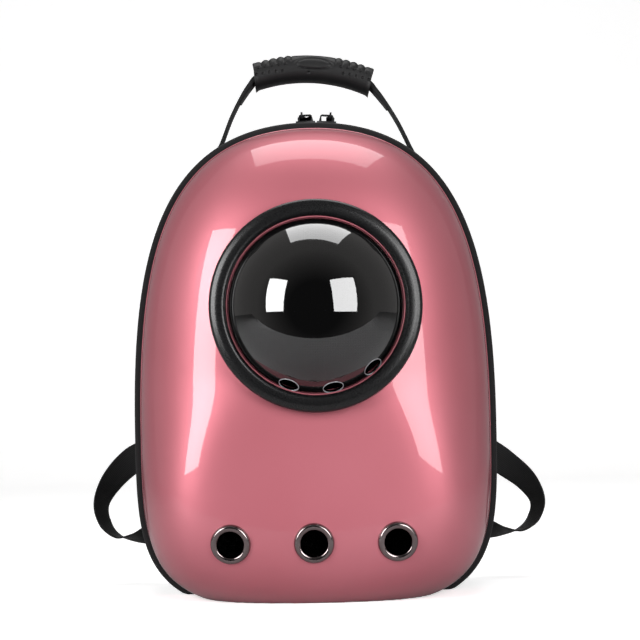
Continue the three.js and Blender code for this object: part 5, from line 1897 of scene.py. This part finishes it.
def seam_lines():
    """Every line of stitches on the bag."""
    trim, rear, handle, straps = settings().trim, settings().rear, settings().handle, settings().straps
    at = depths()
    lift = STITCH["Thread"] / 2 - SINK
    half = trim.band_width / 2
    lines = [
        ring_line(at.middle - half + SEAM["from_edge"], trim.band_out + lift),
        ring_line(at.middle + half - SEAM["from_edge"], trim.band_out + lift),
        ring_line(at.gusset + rear.gusset_depth * SEAM["welt"], gusset_profile(SEAM["welt"]) + lift + 0.0002),
        ring_line(at.gusset + rear.gusset_depth * SEAM["rear"], gusset_profile(SEAM["rear"]) + lift),
    ]
    route = handle_route()
    run = run_length(route.at)
    for place in (SEAM["foot"], run[-1] - SEAM["foot"]):
        k = int(np.searchsorted(run, place))
        face = route.face[k] * math.copysign(1, route.face[k, 2])
        centre = route.at[k] + face * (handle.strap_thickness / 2 + lift)
        wide = handle.strap_width * BOX_SHARE
        lines += boxed_cross(centre, route.across[k], route.along[k], wide, SEAM["handle_box"])
    for name in SIDES:
        pad = pad_route(name)
        for aside in (-1, 1):
            for face in (-1, 1):
                edge = aside * (pad.width / 2 - SEAM["from_strap_edge"])
                off = face * (pad.thickness * SEAM["pad_share"] + SEAM["off"])
                lines.append(pad.line(edge, off)[2:-2])
        tab = tab_route(name)
        for before_end in SEAM["tab_stations"]:
            lines.append(cross_line(tab, len(tab.at) - before_end, lift, SEAM["across_tab"]))
        web = webbing_route(name)
        run = run_length(web.at)
        for back in SEAM["hem"]:
            k = int(np.searchsorted(run, run[-1] - back))
            lines.append(cross_line(web, k, lift + SEAM["off"], SEAM["across_hem"]))
        k = int(np.searchsorted(run, SEAM["anchor"]))
        face = web.face[k] * math.copysign(1, web.face[k, 1])
        centre = web.at[k] + face * (straps.web_thickness / 2 + lift)
        wide = straps.web_width * BOX_SHARE
        lines += boxed_cross(centre, web.across[k], web.along[k], wide, SEAM["webbing_box"])
    return lines


def cross_line(route, k, lift, share):
    """A line of stitches straight across a ribbon, on the side that looks away from the bag."""
    face = route.face[k] * math.copysign(1, route.face[k, 1])
    centre = route.at[k] + face * (route.thickness[k] / 2 + lift)
    half = route.across[k] * route.width[k] * share / 2
    return even_line(np.array([centre - half, centre + half]))


def make_stitching():
    floats = {"Pitch": 0.003, "Stitch": 0.002, "Thread": 0.0005}
    tree = along_tree("carrier stitches", floats, ("Stitch", "Thread", "Thread"), turned=False)
    stitches = piece_from("seam_stitches", lines_mesh("seam_stitches", seam_lines()))
    run_tree(stitches, tree, twisted_thread(), **STITCH)
    dress(stitches, twisted_thread(), sharp_degrees=80)


# The stage

@made_once
def stage_white(finish):
    """Matt white paper that the camera sees bright, and that throws little light back at the bag.
    A camera behind it looks through it."""
    seen = finish.nodes.add("ShaderNodeLightPath").outputs["Is Camera Ray"]
    finish.feed("Base Color", finish.nodes.mix(seen, FLOOR_WHITE["bounced"], FLOOR_WHITE["seen"]))
    finish.feed("Emission Strength", finish.nodes.math("MULTIPLY", seen, FLOOR_WHITE["glow"]))
    finish.set(Roughness=0.9, Specular_IOR_Level=0.1, Emission_Color=(1, 1, 1, 1))
    behind = finish.nodes.add("ShaderNodeNewGeometry").outputs["Backfacing"]
    hidden = finish.nodes.math("MULTIPLY", seen, behind)
    clear = finish.nodes.add("ShaderNodeBsdfTransparent").outputs[0]
    either = finish.nodes.add("ShaderNodeMixShader", (0, hidden), (1, finish.shader.outputs[0]), (2, clear))
    result = finish.material.node_tree.nodes["Material Output"]
    finish.nodes.tree.links.new(either.outputs[0], result.inputs["Surface"])
    return finish.material


def make_floor():
    turn = np.linspace(0, math.pi / 2, 24)
    sweep = FLOOR["sweep"]
    profile = [(FLOOR["front"], 0.0)]
    profile += [(FLOOR["flat_to"] + sweep * math.sin(t), sweep * (1 - math.cos(t))) for t in turn]
    profile.append((FLOOR["flat_to"] + sweep, FLOOR["height"]))
    points, faces = [], []
    for k, (y, z) in enumerate(profile):
        points += [(-FLOOR["half_width"], y, z), (FLOOR["half_width"], y, z)]
        if k:
            faces.append((2 * k - 2, 2 * k - 1, 2 * k + 1, 2 * k))
    mesh = bpy.data.meshes.new("stage_floor")
    mesh.from_pydata(points, [], faces)
    floor = piece_from("stage_floor", mesh)
    for face in mesh.polygons:
        face.use_smooth = True
    mesh.materials.append(stage_white())


def make_softboxes():
    for name, (at, toward, width, height, power) in SOFTBOXES.items():
        light = bpy.data.lights.new(name, "AREA")
        light.shape = "RECTANGLE"
        light.size = width
        light.size_y = height
        light.energy = power
        lamp = piece_from(name, light)
        lamp.location = at
        lamp.rotation_euler = (Vector(toward) - Vector(at)).to_track_quat("-Z", "Y").to_euler()


def make_world():
    """White to the camera. To everything else a studio that is dark in front and pale at its sides."""
    world = bpy.data.worlds.new("studio")
    bpy.context.scene.world = world
    world.use_nodes = True
    nodes = Nodes(world.node_tree)
    background = world.node_tree.nodes["Background"]
    seen = nodes.add("ShaderNodeLightPath").outputs["Is Camera Ray"]
    direction = nodes.add("ShaderNodeTexCoord").outputs["Generated"]
    forwards = nodes.add("ShaderNodeSeparateXYZ", (0, direction)).outputs["Y"]
    dark_to, pale_from = ROOM["turns_pale"]
    aside = nodes.add("ShaderNodeMapRange", ("Value", forwards), (1, dark_to), (2, pale_from)).outputs[0]
    room = nodes.mix(aside, ROOM["front"], ROOM["sides"])
    shade = nodes.mix(seen, room, (1, 1, 1, 1))
    world.node_tree.links.new(shade, background.inputs["Color"])


def make_camera():
    data = bpy.data.cameras.new("camera")
    data.sensor_width = CAMERA["sensor"]
    data.lens = CAMERA["sensor"] * CAMERA["distance"] / CAMERA["frame"]
    camera = piece_from("camera", data)
    camera.location = (CAMERA["across"], -depths().middle - CAMERA["distance"], CAMERA["height"])
    upright = Matrix.Rotation(math.pi / 2, 4, "X")
    rolled = Matrix.Rotation(math.radians(-CAMERA["roll"]), 4, "Z")
    camera.rotation_euler = (upright @ rolled).to_euler()
    bpy.context.scene.camera = camera


def make_stage():
    make_floor()
    make_softboxes()
    make_world()
    make_camera()
    bpy.context.scene.view_settings.view_transform = "Standard"


# Operators, panel and registration

class CARRIER_OT_front_shell(bpy.types.Operator):
    """Mould the rose front shell with its openings"""

    bl_idname = "carrier.front_shell"
    bl_label = "Front shell"

    def execute(self, context):
        make_front_shell()
        return {"FINISHED"}


class CARRIER_OT_window(bpy.types.Operator):
    """Form the smoked dome and its clamping ring"""

    bl_idname = "carrier.window"
    bl_label = "Window"

    def execute(self, context):
        make_window_dome()
        make_window_collar()
        make_window_ring()
        return {"FINISHED"}


class CARRIER_OT_eyelets(bpy.types.Operator):
    """Press the metal eyelets into the shell"""

    bl_idname = "carrier.eyelets"
    bl_label = "Eyelets"

    def execute(self, context):
        make_eyelets()
        return {"FINISHED"}


class CARRIER_OT_edging(bpy.types.Operator):
    """Sew the black edging and the zip's tapes round the bag"""

    bl_idname = "carrier.edging"
    bl_label = "Edging and zip tapes"

    def execute(self, context):
        make_edging()
        return {"FINISHED"}


class CARRIER_OT_zip(bpy.types.Operator):
    """Lay the zip's coil and set its sliders and pull tabs"""

    bl_idname = "carrier.zip"
    bl_label = "Zip coil, sliders and pulls"

    def execute(self, context):
        make_zip_teeth()
        make_zip_pulls()
        return {"FINISHED"}


class CARRIER_OT_rear_half(bpy.types.Operator):
    """Sew the soft side wall and the padded back"""

    bl_idname = "carrier.rear_half"
    bl_label = "Soft rear half"

    def execute(self, context):
        make_rear_half()
        return {"FINISHED"}


class CARRIER_OT_handle(bpy.types.Operator):
    """Make the grab handle's strap, sleeves and moulded grip"""

    bl_idname = "carrier.handle"
    bl_label = "Grab handle"

    def execute(self, context):
        make_handle()
        return {"FINISHED"}


class CARRIER_OT_shoulder_straps(bpy.types.Operator):
    """Make the padded shoulder straps, their buckles and the looping webbing"""

    bl_idname = "carrier.shoulder_straps"
    bl_label = "Shoulder straps"

    def execute(self, context):
        make_shoulder_straps()
        return {"FINISHED"}


class CARRIER_OT_stitching(bpy.types.Operator):
    """Sew every visible seam"""

    bl_idname = "carrier.stitching"
    bl_label = "Stitching"

    def execute(self, context):
        make_stitching()
        return {"FINISHED"}


class CARRIER_OT_stage(bpy.types.Operator):
    """Set the white floor, the softboxes and the camera"""

    bl_idname = "carrier.stage"
    bl_label = "Stage"

    def execute(self, context):
        make_stage()
        return {"FINISHED"}


STEPS = (
    CARRIER_OT_stage, CARRIER_OT_front_shell, CARRIER_OT_window, CARRIER_OT_eyelets, CARRIER_OT_edging,
    CARRIER_OT_zip, CARRIER_OT_rear_half, CARRIER_OT_handle, CARRIER_OT_shoulder_straps,
    CARRIER_OT_stitching,
)
GROUPS = (
    CarrierBody, CarrierWindow, CarrierTrim, CarrierRear, CarrierHandle, CarrierStraps, CarrierColours,
    CarrierSettings,
)


class CARRIER_PT_pieces(bpy.types.Panel):
    """The carrier's sizes, colours and steps"""

    bl_label = "Pet carrier"
    bl_space_type = "VIEW_3D"
    bl_region_type = "UI"
    bl_category = "Carrier"

    def draw(self, context):
        for step in STEPS:
            self.layout.operator(step.bl_idname, text=step.bl_label)
        for group in context.scene.carrier.bl_rna.properties:
            if group.type != "POINTER" or group.identifier == "rna_type":
                continue
            box = self.layout.box()
            box.label(text=group.name or group.identifier.replace("_", " ").capitalize())
            part = getattr(context.scene.carrier, group.identifier)
            for value in part.bl_rna.properties:
                if value.identifier not in ("rna_type", "name"):
                    box.prop(part, value.identifier)


def register():
    for kind in (*GROUPS, *STEPS, CARRIER_PT_pieces):
        bpy.utils.register_class(kind)
    bpy.types.Scene.carrier = PointerProperty(type=CarrierSettings)


def unregister():
    del bpy.types.Scene.carrier
    for kind in reversed((*GROUPS, *STEPS, CARRIER_PT_pieces)):
        bpy.utils.unregister_class(kind)


def main():
    register()
    for step in STEPS:
        group, name = step.bl_idname.split(".")
        getattr(getattr(bpy.ops, group), name)()


if __name__ == "__main__":
    main()
